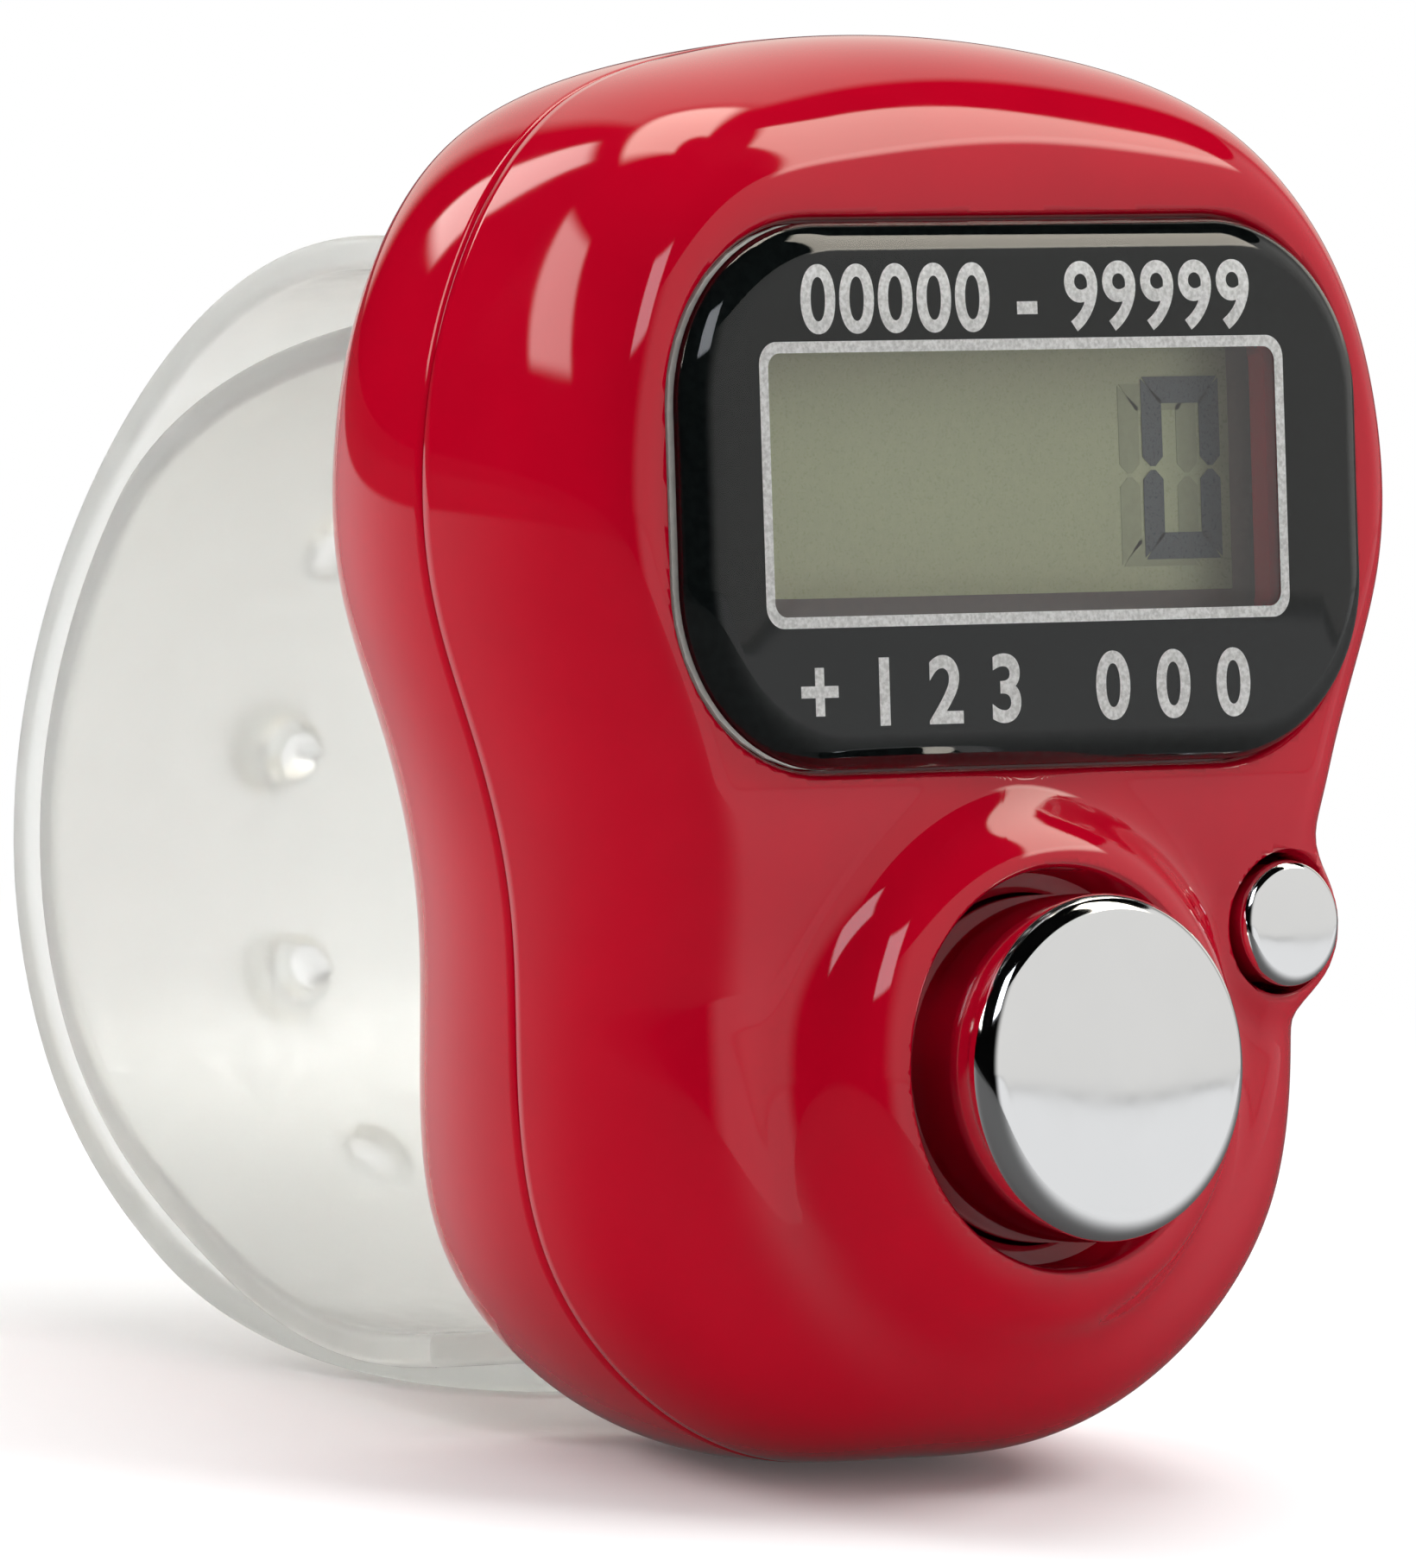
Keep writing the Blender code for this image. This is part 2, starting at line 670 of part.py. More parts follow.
def display_cutters():
    """The seat of the display glass, the recess of the lens and the window between them."""
    seat = box_mesh(
        "glass_seat",
        (-GLASS_WIDTH / 2 - SEAT_GAP, INNER_FACE - SEAM_GAP, GLASS_BOTTOM - SEAT_GAP),
        (GLASS_WIDTH / 2 + SEAT_GAP, RIB_BACK + CUT_OVERRUN, GLASS_TOP + SEAT_GAP),
    )
    recess = plate(
        "lens_recess",
        rounded_rectangle(
            LENS_WIDTH + 2 * SEAT_GAP, LENS_HEIGHT + 2 * SEAT_GAP, LENS_CORNER + SEAT_GAP
        ),
        LENS_MIDDLE_HEIGHT, -CUT_OVERRUN, RECESS_DEPTH,
    )
    opening = box_mesh(
        "window_opening",
        (-WINDOW_WIDTH / 2, -CUT_OVERRUN, WINDOW_MIDDLE_HEIGHT - WINDOW_HEIGHT / 2),
        (WINDOW_WIDTH / 2, GLASS_FRONT, WINDOW_MIDDLE_HEIGHT + WINDOW_HEIGHT / 2),
    )
    return [
        place("glass_seat", seat),
        place("lens_recess", recess),
        place("window_opening", opening),
    ]


def button_cutters():
    """The crater and core of the count button, and the ways of the reset button."""
    core_radius = COUNT_RADIUS + COUNT_FLANGE + 2 * BORE_CLEARANCE
    behind = SEAM_DEPTH + CUT_OVERRUN
    foot_half = RESET_FOOT_WIDTH / 2 + SEAT_GAP
    foot_reach = RESET_FOOT_LENGTH / 2 + SEAT_GAP
    middle = RESET_SWITCH_AT[0]
    foot_way = box_mesh(
        "reset_foot_way",
        (middle - foot_reach, RESET_CAP_BACK - SEAT_GAP, RESET_HEIGHT - foot_half),
        (middle + foot_reach, behind, RESET_HEIGHT + foot_half),
    )
    return [
        turned("crater", crater_profile(), COUNT_AT),
        *rods("count_core", [COUNT_AT], core_radius, BORE_SEAT, behind, TURN_STEPS),
        *rods(
            "reset_bore", [RESET_AT], RESET_RADIUS + BORE_CLEARANCE, -CUT_OVERRUN,
            RESET_CAP_BACK + RESET_TRAVEL + SEAT_GAP, CAP_STEPS,
        ),
        place("reset_foot_way", foot_way),
    ]


def make_front_shell(look):
    shell = place("front_shell", half_body("front_shell", 0, False, FRONT_END), look)
    join_all(shell, [
        turned("count_boss", boss_profile(), COUNT_AT),
        turned("reset_boss", reset_boss_profile(), RESET_AT),
    ])

    posts = front_posts()
    cavity = place("front_cavity", half_body(
        "front_cavity", WALL, False, SEAM_DEPTH + CUT_OVERRUN, CAVITY_ROUNDING_SHARE
    ))
    rebate = place("front_rebate", prism(
        "front_rebate", WALL - TONGUE_WALL - SEAT_GAP,
        FRONT_END - TONGUE_HEIGHT - SEAT_GAP, SEAM_DEPTH + CUT_OVERRUN,
    ))
    cut_all(cavity, posts)
    cut_all(rebate, posts)
    case_end = BACK_DEPTH - CASE_BOSS_LENGTH - CASE_SHANK_LENGTH
    board_end = BOARD_BACK - BOARD_SHANK_LENGTH
    cut_all(shell, [
        cavity,
        rebate,
        *display_cutters(),
        *button_cutters(),
        *rods(
            "case_pilot", CASE_SCREWS, CASE_SHANK_RADIUS + SCREW_CLEARANCE,
            case_end, FRONT_END + CUT_OVERRUN, PIN_STEPS,
        ),
        *rods(
            "board_pilot", BOARD_SCREWS, BOARD_SHANK_RADIUS + SCREW_CLEARANCE,
            board_end, BOARD_FRONT + CUT_OVERRUN, PIN_STEPS,
        ),
    ])


def make_rear_case(look):
    shell = place("rear_case", half_body("rear_case", 0, True, REAR_END), look)
    tongue = prism(
        "tongue", WALL - TONGUE_WALL, REAR_END - TONGUE_HEIGHT, SEAM_DEPTH + TONGUE_ROOT
    )
    join_all(shell, [place("tongue", tongue)])
    cavity = place("rear_cavity", half_body(
        "rear_cavity", WALL, True, SEAM_DEPTH - CUT_OVERRUN, CAVITY_ROUNDING_SHARE
    ))
    pocket_front = INNER_BACK - POCKET_DEPTH
    pocket_radius = CELL_RADIUS + SEAT_GAP + POCKET_WALL
    cell_at = (0, CELL_HEIGHT)
    cut_all(cavity, [
        *rods(
            "case_boss", CASE_SCREWS, CASE_BOSS_RADIUS, REAR_END + SEAM_GAP, BACK_DEPTH,
            POST_STEPS,
        ),
        *rods("cell_pocket", [cell_at], pocket_radius, pocket_front, BACK_DEPTH, TURN_STEPS),
    ])

    clip_way = box_mesh(
        "clip_way",
        (0, pocket_front - CUT_OVERRUN, CELL_HEIGHT - CONTACT_WIDTH / 2 - SEAT_GAP),
        (
            pocket_radius + CUT_OVERRUN,
            INNER_BACK,
            CELL_HEIGHT + CONTACT_WIDTH / 2 + SEAT_GAP,
        ),
    )
    cutters = [
        cavity,
        *rods(
            "cell_hollow", [cell_at], CELL_RADIUS + SEAT_GAP, pocket_front - CUT_OVERRUN,
            INNER_BACK, TURN_STEPS,
        ),
        place("clip_way", clip_way),
        *rods(
            "case_hole", CASE_SCREWS, CASE_SHANK_RADIUS + 2 * SCREW_CLEARANCE,
            SEAM_DEPTH - CUT_OVERRUN, BACK_DEPTH, PIN_STEPS,
        ),
        *rods(
            "case_counterbore", CASE_SCREWS, CASE_HEAD_RADIUS + BORE_CLEARANCE,
            BACK_DEPTH - CASE_BOSS_LENGTH, BACK_DEPTH + CUT_OVERRUN, POST_STEPS,
        ),
    ]
    for name, height in (("upper", UPPER_ROOT), ("lower", LOWER_ROOT)):
        slot = box_mesh(
            f"{name}_slot",
            (
                -STRAP_TAB_WIDTH / 2 - SEAT_GAP,
                INNER_BACK - CUT_OVERRUN,
                height - STRAP_THICKNESS / 2 - SEAT_GAP,
            ),
            (
                STRAP_TAB_WIDTH / 2 + SEAT_GAP,
                BACK_DEPTH + CUT_OVERRUN,
                height + STRAP_THICKNESS / 2 + SEAT_GAP,
            ),
        )
        pocket = box_mesh(
            f"{name}_bead_pocket",
            (
                -STRAP_TAB_WIDTH / 2 - SEAT_GAP,
                BEAD_FRONT - SEAT_GAP,
                height - STRAP_BEAD_HEIGHT / 2 - SEAT_GAP,
            ),
            (
                STRAP_TAB_WIDTH / 2 + SEAT_GAP,
                INNER_BACK,
                height + STRAP_BEAD_HEIGHT / 2 + SEAT_GAP,
            ),
        )
        cutters += [place(f"{name}_slot", slot), place(f"{name}_bead_pocket", pocket)]
    cut_all(shell, cutters)


def make_lens(look):
    corner = LENS_CORNER
    rings = []
    outline = rounded_rectangle(LENS_WIDTH, LENS_HEIGHT, corner)
    rings.append([(x, LENS_BACK, LENS_MIDDLE_HEIGHT + z) for x, z in outline])
    for turn in np.linspace(0, math.pi / 2, ROUND_STEPS):
        inset = LENS_EDGE_ROUNDING * (1 - math.cos(turn))
        depth = LENS_BACK - LENS_THICKNESS + LENS_EDGE_ROUNDING * (1 - math.sin(turn))
        outline = rounded_rectangle(
            LENS_WIDTH - 2 * inset, LENS_HEIGHT - 2 * inset, corner - inset
        )
        rings.append([(x, depth, LENS_MIDDLE_HEIGHT + z) for x, z in outline])
    place("display_window", skin("display_window", rings), look)


def make_adhesive(look):
    near = LENS_BACK + SEAM_GAP
    outline = rounded_rectangle(LENS_WIDTH, LENS_HEIGHT, LENS_CORNER)
    ring = place(
        "window_adhesive",
        plate("window_adhesive", outline, LENS_MIDDLE_HEIGHT, near, near + ADHESIVE_THICKNESS),
        look,
    )
    opening = rounded_rectangle(
        LENS_WIDTH - 2 * ADHESIVE_WIDTH, LENS_HEIGHT - 2 * ADHESIVE_WIDTH,
        LENS_CORNER - ADHESIVE_WIDTH,
    )
    inner = plate(
        "adhesive_opening", opening, LENS_MIDDLE_HEIGHT,
        near - CUT_OVERRUN, near + CUT_OVERRUN,
    )
    cut_all(ring, [place("adhesive_opening", inner)])


def make_display(look):
    half = GLASS_WIDTH / 2
    glass = place(
        "lcd_panel",
        box_mesh("lcd_panel", (-half, GLASS_FRONT, GLASS_BOTTOM), (half, LEDGE_BACK, GLASS_TOP)),
        look,
    )
    rear = box_mesh(
        "rear_glass",
        (-half, LEDGE_BACK - SEAM_GAP, GLASS_BOTTOM + GLASS_LEDGE),
        (half, GLASS_BACK, GLASS_TOP),
    )
    join_all(glass, [place("rear_glass", rear)])


def make_strips(rubber, foam):
    half = GLASS_WIDTH / 2 * STRIP_LENGTH_SHARE
    slack = (GLASS_LEDGE - STRIP_WIDTH) / 2
    zebra = box_mesh(
        "zebra_connector",
        (-half, LEDGE_BACK + SEAT_GAP, GLASS_BOTTOM + slack),
        (half, BOARD_FRONT - SEAT_GAP, GLASS_BOTTOM + slack + STRIP_WIDTH),
    )
    pad = box_mesh(
        "lcd_foam_pad",
        (-half, GLASS_BACK + SEAT_GAP, GLASS_TOP - STRIP_WIDTH),
        (half, BOARD_FRONT - SEAT_GAP, GLASS_TOP),
    )
    place("zebra_connector", zebra, rubber)
    place("lcd_foam_pad", pad, foam)


def make_board(look):
    board = place(
        "circuit_board", prism("circuit_board", WALL + SEAT_GAP, BOARD_FRONT, BOARD_BACK), look
    )
    behind = SEAM_DEPTH + CUT_OVERRUN
    cut_all(board, [
        *rods("board_notch", CASE_SCREWS, CASE_POST_RADIUS + SEAT_GAP, 0, behind, POST_STEPS),
        *rods(
            "board_hole", BOARD_SCREWS, BOARD_SHANK_RADIUS + 2 * SCREW_CLEARANCE, 0, behind,
            PIN_STEPS,
        ),
    ])


def make_board_parts(resin, ceramic):
    base = -BOARD_BACK - SEAT_GAP
    profile = [(0, base)]
    for turn in np.linspace(math.pi / 2, 0, ROUND_STEPS):
        profile.append((
            CHIP_RADIUS * math.sin(turn), base - CHIP_THICKNESS * math.cos(turn)
        ))
    turned("controller_chip", profile, (0, CHIP_HEIGHT), resin, POST_STEPS)
    middle = (CHIP_RADIUS + CAPACITOR_LENGTH, CHIP_HEIGHT)
    capacitor = box_mesh(
        "board_capacitor",
        (middle[0], BOARD_BACK + SEAT_GAP, middle[1]),
        (
            middle[0] + CAPACITOR_WIDTH,
            BOARD_BACK + SEAT_GAP + CAPACITOR_THICKNESS,
            middle[1] + CAPACITOR_LENGTH,
        ),
    )
    place("board_capacitor", capacitor, ceramic)


def make_cell(look):
    """The stepped can of a button cell: the narrow negative cap faces the board."""
    cap = CELL_RADIUS - CELL_STEP
    turned(
        "button_cell",
        [
            (0, -CELL_FRONT),
            (cap, -CELL_FRONT),
            (cap, -CELL_FRONT - CELL_STEP),
            (CELL_RADIUS, -CELL_FRONT - CELL_STEP),
            (CELL_RADIUS, -CELL_BACK),
            (0, -CELL_BACK),
        ],
        (0, CELL_HEIGHT), look,
    )


def strip_mesh(name, path, width, middle_height):
    """A bent metal strip: its path of (x, depth) points, given thickness and width."""
    shape = bmesh.new()
    low = [shape.verts.new((x, y, middle_height - width / 2)) for x, y in path]
    high = [shape.verts.new((x, y, middle_height + width / 2)) for x, y in path]
    for i in range(len(path) - 1):
        shape.faces.new((low[i], low[i + 1], high[i + 1], high[i]))
    mesh = bpy.data.meshes.new(name)
    shape.to_mesh(mesh)
    shape.free()
    return mesh


def thicken(target, thickness, rounding=0):
    solid = target.modifiers.new("thickness", "SOLIDIFY")
    solid.thickness = thickness
    solid.offset = 0
    solid.use_even_offset = True
    if rounding:
        bevel = target.modifiers.new("rounded edges", "BEVEL")
        bevel.width = rounding
        bevel.segments = BEVEL_STEPS
        bevel.limit_method = "ANGLE"
        bevel.angle_limit = BEVEL_ANGLE


def make_contacts(look):
    foot = NEGATIVE_FRONT + CONTACT_THICKNESS / 2
    leaf = foot + CONTACT_THICKNESS
    negative = place(
        "cell_negative_contact",
        strip_mesh(
            "cell_negative_contact",
            [
                (-CONTACT_REACH, foot), (-CONTACT_STEP, foot),
                (CONTACT_STEP, leaf), (CONTACT_REACH, leaf),
            ],
            CONTACT_WIDTH, CELL_HEIGHT,
        ),
        look,
    )
    thicken(negative, CONTACT_THICKNESS)
    side = CELL_RADIUS + SEAT_GAP + CONTACT_THICKNESS / 2
    back = POSITIVE_BACK - CONTACT_THICKNESS / 2
    positive = place(
        "cell_positive_contact",
        strip_mesh(
            "cell_positive_contact",
            [(side + CONTACT_WIDTH / 2, foot), (side, foot), (side, back), (0, back)],
            CONTACT_WIDTH, CELL_HEIGHT,
        ),
        look,
    )
    thicken(positive, CONTACT_THICKNESS)


def make_count_button(look):
    front = COUNT_PROUD
    wall = COUNT_RADIUS - COUNT_SHELL
    roof = front - COUNT_SHELL
    corner = COUNT_EDGE_ROUNDING
    profile = [
        (0, front),
        *arc(COUNT_RADIUS - corner, front - COUNT_CROWN - corner, corner),
        (COUNT_RADIUS, -FLANGE_FRONT),
        (COUNT_RADIUS + COUNT_FLANGE, -FLANGE_FRONT),
        (COUNT_RADIUS + COUNT_FLANGE, -FLANGE_BACK),
        (wall, -FLANGE_BACK),
        (wall, roof),
        (COUNT_STEM_RADIUS, roof),
        (COUNT_STEM_RADIUS, -COUNT_STEM_END),
        (0, -COUNT_STEM_END),
    ]
    turned("count_button", profile, COUNT_AT, look)


def make_reset_button(look):
    corner = RESET_EDGE_ROUNDING
    profile = [
        (0, -RESET_DEPTH),
        *arc(RESET_RADIUS - corner, -RESET_DEPTH - corner, corner),
        (RESET_RADIUS, -RESET_CAP_BACK),
        (0, -RESET_CAP_BACK),
    ]
    cap = turned("reset_button", profile, RESET_AT, look, CAP_STEPS)
    middle = RESET_SWITCH_AT[0]
    foot = box_mesh(
        "reset_foot",
        (
            middle - RESET_FOOT_LENGTH / 2,
            RESET_CAP_BACK - SEAM_GAP,
            RESET_HEIGHT - RESET_FOOT_WIDTH / 2,
        ),
        (
            middle + RESET_FOOT_LENGTH / 2,
            RESET_FOOT_BACK,
            RESET_HEIGHT + RESET_FOOT_WIDTH / 2,
        ),
    )
    join_all(cap, [place("reset_foot", foot)])


def make_switch(name, at, side, front, plunger, looks):
    """A square tact switch on the board and the plunger that slides in it."""
    radius, plunger_front, travel = plunger
    x, height = at
    base = place(
        f"{name}_switch_base",
        box_mesh(
            f"{name}_switch_base",
            (x - side / 2, front, height - side / 2),
            (x + side / 2, SWITCH_BACK, height + side / 2),
        ),
        looks[0],
    )
    floor = SWITCH_BACK - SEAT_GAP
    cut_all(base, rods(
        f"{name}_well", [at], radius + BORE_CLEARANCE, front - CUT_OVERRUN, floor, POST_STEPS
    ))
    plunger_back = floor - travel - SEAT_GAP / 2
    turned(
        f"{name}_switch_plunger",
        [
            (0, -plunger_front),
            (radius, -plunger_front),
            (radius, -plunger_back),
            (0, -plunger_back),
        ],
        at, looks[1], POST_STEPS,
    )


def make_screw(name, at, head_seat, head, shank, look):
    """A pan head that faces the back, with a slot across it and a plain shank."""
    head_radius, head_thickness = head
    shank_radius, shank_length = shank
    screw = place(
        name,
        rod_mesh(name, head_radius, head_seat, head_seat + head_thickness, at, POST_STEPS),
        look,
    )
    x, height = at
    join_all(screw, rods(
        f"{name}_shank", [at], shank_radius, head_seat - shank_length, head_seat + SEAM_GAP,
        PIN_STEPS,
    ))
    slot = box_mesh(
        f"{name}_slot",
        (x - head_radius - SLOT_WIDTH, head_seat + head_thickness / 2, height - SLOT_WIDTH / 2),
        (
            x + head_radius + SLOT_WIDTH,
            head_seat + head_thickness + CUT_OVERRUN,
            height + SLOT_WIDTH / 2,
        ),
    )
    cut_all(screw, [place(f"{name}_slot", slot)])


def make_screws(look):
    for number, at in enumerate(CASE_SCREWS, start=1):
        make_screw(
            f"case_screw_{number}", at, BACK_DEPTH - CASE_BOSS_LENGTH + SEAM_GAP,
            (CASE_HEAD_RADIUS, CASE_HEAD_THICKNESS),
            (CASE_SHANK_RADIUS, CASE_SHANK_LENGTH), look,
        )
    for number, at in enumerate(BOARD_SCREWS, start=1):
        make_screw(
            f"board_screw_{number}", at, BOARD_BACK + SEAM_GAP,
            (BOARD_HEAD_RADIUS, BOARD_HEAD_THICKNESS),
            (BOARD_SHANK_RADIUS, BOARD_SHANK_LENGTH), look,
        )


def loop_at(run):
    """Point and outward direction of the loop line, as (depth, height), at a length of run."""
    point = np.array([np.interp(run, LOOP_RUN, column) for column in LOOP.T])
    outward = np.array([np.interp(run, LOOP_RUN, column) for column in OUTWARD.T])
    return point, outward / np.linalg.norm(outward)


def strap_half_width(run, length, shoulder):
    """A narrow tab up to the shoulder, full width after it and a round end."""
    full = STRAP_WIDTH / 2
    left = length - run
    if run <= shoulder:
        return STRAP_TAB_WIDTH / 2
    if left < full:
        return math.sqrt(full**2 - (full - left) ** 2)
    return full


def strap_mesh(name, offset, from_top, end_share):
    """Middle surface of a strap half, from its tab inside the body to its round end."""
    total = LOOP_RUN[-1]
    length = total * (end_share if from_top else 1 - end_share)
    shoulder = BACK_DEPTH + SEAT_GAP - LOOP[0, 0]
    round_start = length - STRAP_WIDTH / 2
    rows = [0, shoulder, shoulder + STRAP_SHOULDER]
    rows += list(np.linspace(shoulder + 2 * STRAP_SHOULDER, round_start, STRAP_ROWS))
    tip = np.linspace(0, math.pi / 2, STRAP_TIP_ROWS + 1)[1:-1]
    rows += [round_start + STRAP_WIDTH / 2 * math.sin(turn) for turn in tip]
    shape = bmesh.new()
    grid = []
    for run in rows:
        half = strap_half_width(run, length, shoulder)
        at = run if from_top else total - run
        point, outward = loop_at(at)
        depth, height = point + outward * offset
        grid.append([
            shape.verts.new((half * x, depth, height))
            for x in np.linspace(-1, 1, STRAP_COLUMNS + 1)
        ])
    for row, following in zip(grid, grid[1:]):
        for i in range(STRAP_COLUMNS):
            shape.faces.new((row[i], row[i + 1], following[i + 1], following[i]))
    return finish_mesh(name, shape)


def make_bead(name, height):
    half = STRAP_TAB_WIDTH / 2
    mesh = box_mesh(
        name,
        (-half, BEAD_FRONT, height - STRAP_BEAD_HEIGHT / 2),
        (half, BEAD_FRONT + STRAP_BEAD_THICKNESS, height + STRAP_BEAD_HEIGHT / 2),
    )
    return place(name, mesh)


def peg_profile():
    """A neck from the middle of the inner layer, and a head outside the outer layer."""
    root = -STRAP_THICKNESS / 2
    under_head = STRAP_THICKNESS + 2 * LAYER_GAP
    head = under_head + PEG_HEAD_THICKNESS
    corner = PEG_HEAD_THICKNESS / 2
    return [
        (0, head),
        *arc(PEG_HEAD_RADIUS - corner, head - corner, corner),
        (PEG_HEAD_RADIUS, under_head),
        (PEG_NECK_RADIUS, under_head),
        (PEG_NECK_RADIUS, root),
        (0, root),
    ]


def make_strap(look):
    outside = LAYER_GAP + STRAP_THICKNESS / 2
    upper = place(
        "strap_upper", strap_mesh("strap_upper", outside, True, UPPER_END_SHARE), look
    )
    thicken(upper, STRAP_THICKNESS, STRAP_EDGE_ROUNDING)
    join_all(upper, [make_bead("upper_bead", UPPER_ROOT)])
    lower = place(
        "strap_lower", strap_mesh("strap_lower", -STRAP_THICKNESS / 2, False, LOWER_END_SHARE),
        look,
    )
    thicken(lower, STRAP_THICKNESS, STRAP_EDGE_ROUNDING)
    join_all(lower, [make_bead("lower_bead", LOWER_ROOT)])
    reach = STRAP_THICKNESS + CUT_OVERRUN
    hole = [(0, reach), (HOLE_RADIUS, reach), (HOLE_RADIUS, 0), (0, 0)]
    for number in range(1, HOLES + 1):
        run = LOOP_RUN[-1] * FIRST_HOLE_SHARE + HOLE_PITCH * (number - 1)
        point, outward = loop_at(run)
        outward_tilt = math.atan2(-outward[0], outward[1])
        at = (0, *point)
        cut_all(upper, [
            turned(f"strap_hole_{number}", hole, at, None, POST_STEPS, outward_tilt)
        ])
        if number in PEGGED_HOLES:
            join_all(lower, [
                turned(f"strap_peg_{number}", peg_profile(), at, None, POST_STEPS, outward_tilt)
            ])


def centre_footprint():
    """Move the frame so that the middle of all the parts' depth is at the origin."""
    bpy.context.view_layer.update()
    graph = bpy.context.evaluated_depsgraph_get()
    depths = []
    for part in PARTS.objects:
        if part.type == "MESH":
            seen = part.evaluated_get(graph)
            depths += [(seen.matrix_world @ point.co).y for point in seen.data.vertices]
    FRAME.location.y = -(min(depths) + max(depths)) / 2


def main():
    crimson = material("crimson plastic", CRIMSON, 0.12)
    chrome = material("chrome plating", CHROME, 0.06, 1.0)
    clear = material("clear lens", LENS_BLACK, 0.05)
    tape = material("white tape", TAPE_WHITE, 0.8)
    glass = material("display glass", GLASS_GREY, 0.2)
    rubber = material("black rubber", RUBBER_BLACK, 0.7)
    board = material("green board", BOARD_GREEN, 0.4)
    steel = material("steel", STEEL, 0.3, 1.0)
    brass = material("brass", BRASS, 0.35, 1.0)
    milky = material("milky soft plastic", MILKY, 0.45, 0.0, 0.6)

    make_front_shell(crimson)
    make_rear_case(crimson)
    make_lens(clear)
    make_adhesive(tape)
    make_display(glass)
    make_strips(rubber, rubber)
    make_board(board)
    make_board_parts(rubber, brass)
    make_cell(steel)
    make_contacts(steel)
    make_count_button(chrome)
    make_reset_button(chrome)
    make_switch(
        "count", COUNT_AT, SWITCH_SIDE, SWITCH_FRONT,
        (PLUNGER_RADIUS, PLUNGER_FRONT, PLUNGER_TRAVEL), (rubber, brass),
    )
    make_switch(
        "reset", RESET_SWITCH_AT, RESET_SWITCH_SIDE, SWITCH_BACK - RESET_SWITCH_THICKNESS,
        (RESET_PLUNGER_RADIUS, RESET_PLUNGER_FRONT, RESET_PLUNGER_TRAVEL), (rubber, brass),
    )
    make_screws(steel)
    make_strap(milky)
    centre_footprint()


main()
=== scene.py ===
"""A finger-worn digital tally counter in its studio.

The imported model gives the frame, and every size here is in metres in that same frame: X to
the right, Y to the back and Z up. The moulded body, the lens, the buttons and the strap are
made again in full detail, and the works inside get their real finishes.
"""

import json
import math

import bmesh
import bpy
import numpy as np
from bpy.props import FloatProperty, FloatVectorProperty, IntProperty, PointerProperty
from mathutils import Matrix, Vector

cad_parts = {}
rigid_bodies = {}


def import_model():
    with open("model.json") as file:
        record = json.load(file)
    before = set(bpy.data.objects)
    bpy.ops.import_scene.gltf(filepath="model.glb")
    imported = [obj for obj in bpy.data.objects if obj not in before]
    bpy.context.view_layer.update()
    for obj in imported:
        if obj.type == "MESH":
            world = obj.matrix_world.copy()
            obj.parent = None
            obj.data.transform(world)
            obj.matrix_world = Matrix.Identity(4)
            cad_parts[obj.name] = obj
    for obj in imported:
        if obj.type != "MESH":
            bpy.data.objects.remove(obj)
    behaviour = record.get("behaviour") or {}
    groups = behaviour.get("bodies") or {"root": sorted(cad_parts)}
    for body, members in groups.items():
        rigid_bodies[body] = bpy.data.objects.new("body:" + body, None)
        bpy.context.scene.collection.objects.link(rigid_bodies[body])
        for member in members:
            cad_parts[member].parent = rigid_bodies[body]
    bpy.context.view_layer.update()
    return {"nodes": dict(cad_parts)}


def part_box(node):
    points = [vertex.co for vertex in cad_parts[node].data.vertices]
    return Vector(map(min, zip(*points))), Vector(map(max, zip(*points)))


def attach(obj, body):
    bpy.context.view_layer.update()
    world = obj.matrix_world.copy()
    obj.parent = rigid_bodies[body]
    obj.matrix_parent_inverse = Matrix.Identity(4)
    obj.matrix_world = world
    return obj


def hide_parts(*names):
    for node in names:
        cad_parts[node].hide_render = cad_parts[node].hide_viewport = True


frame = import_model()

bl_info = {
    "name": "Finger Tally Counter",
    "version": (1, 0, 0),
    "blender": (4, 5, 0),
    "location": "View3D > Sidebar > Tally Counter",
    "description": "Makes the pieces of a finger-worn digital tally counter and its studio",
    "category": "Add Mesh",
}

LENS_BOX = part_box("display_window")
GLASS_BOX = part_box("lcd_panel")
COUNT_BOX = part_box("count_button")
RESET_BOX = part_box("reset_button")

# World Y of depth nought, which the lens stands 0.8 mm in front of, and the depth of the
# body's flat back
ZERO = LENS_BOX[0].y + 0.0008
BACK = 0.0139

# Middles of the buttons in X and Z, and the middle height of the window in the lens's print
COUNT_AT = (0.0, (COUNT_BOX[0].z + COUNT_BOX[1].z) / 2)
RESET_AT = (0.0095, (RESET_BOX[0].z + RESET_BOX[1].z) / 2)
WINDOW_HEIGHT = 0.0259

# The body's outline from the top down, as shares of half its width and of its height, with
# the front's and the back's shares of their rounding
OUTLINE = (
    (0.0, 1.0, 1.0, 0.80),
    (0.38, 0.987, 0.95, 0.80),
    (0.66, 0.952, 0.77, 0.82),
    (0.863, 0.869, 0.55, 0.90),
    (0.988, 0.742, 0.50, 1.0),
    (0.986, 0.611, 0.50, 1.0),
    (0.890, 0.500, 0.55, 1.0),
    (0.829, 0.395, 0.64, 0.95),
    (0.825, 0.268, 0.73, 0.85),
    (0.774, 0.155, 0.86, 0.75),
    (0.562, 0.055, 0.95, 0.72),
    (0.274, 0.005, 1.0, 0.72),
    (0.0, 0.0, 1.0, 0.72),
)

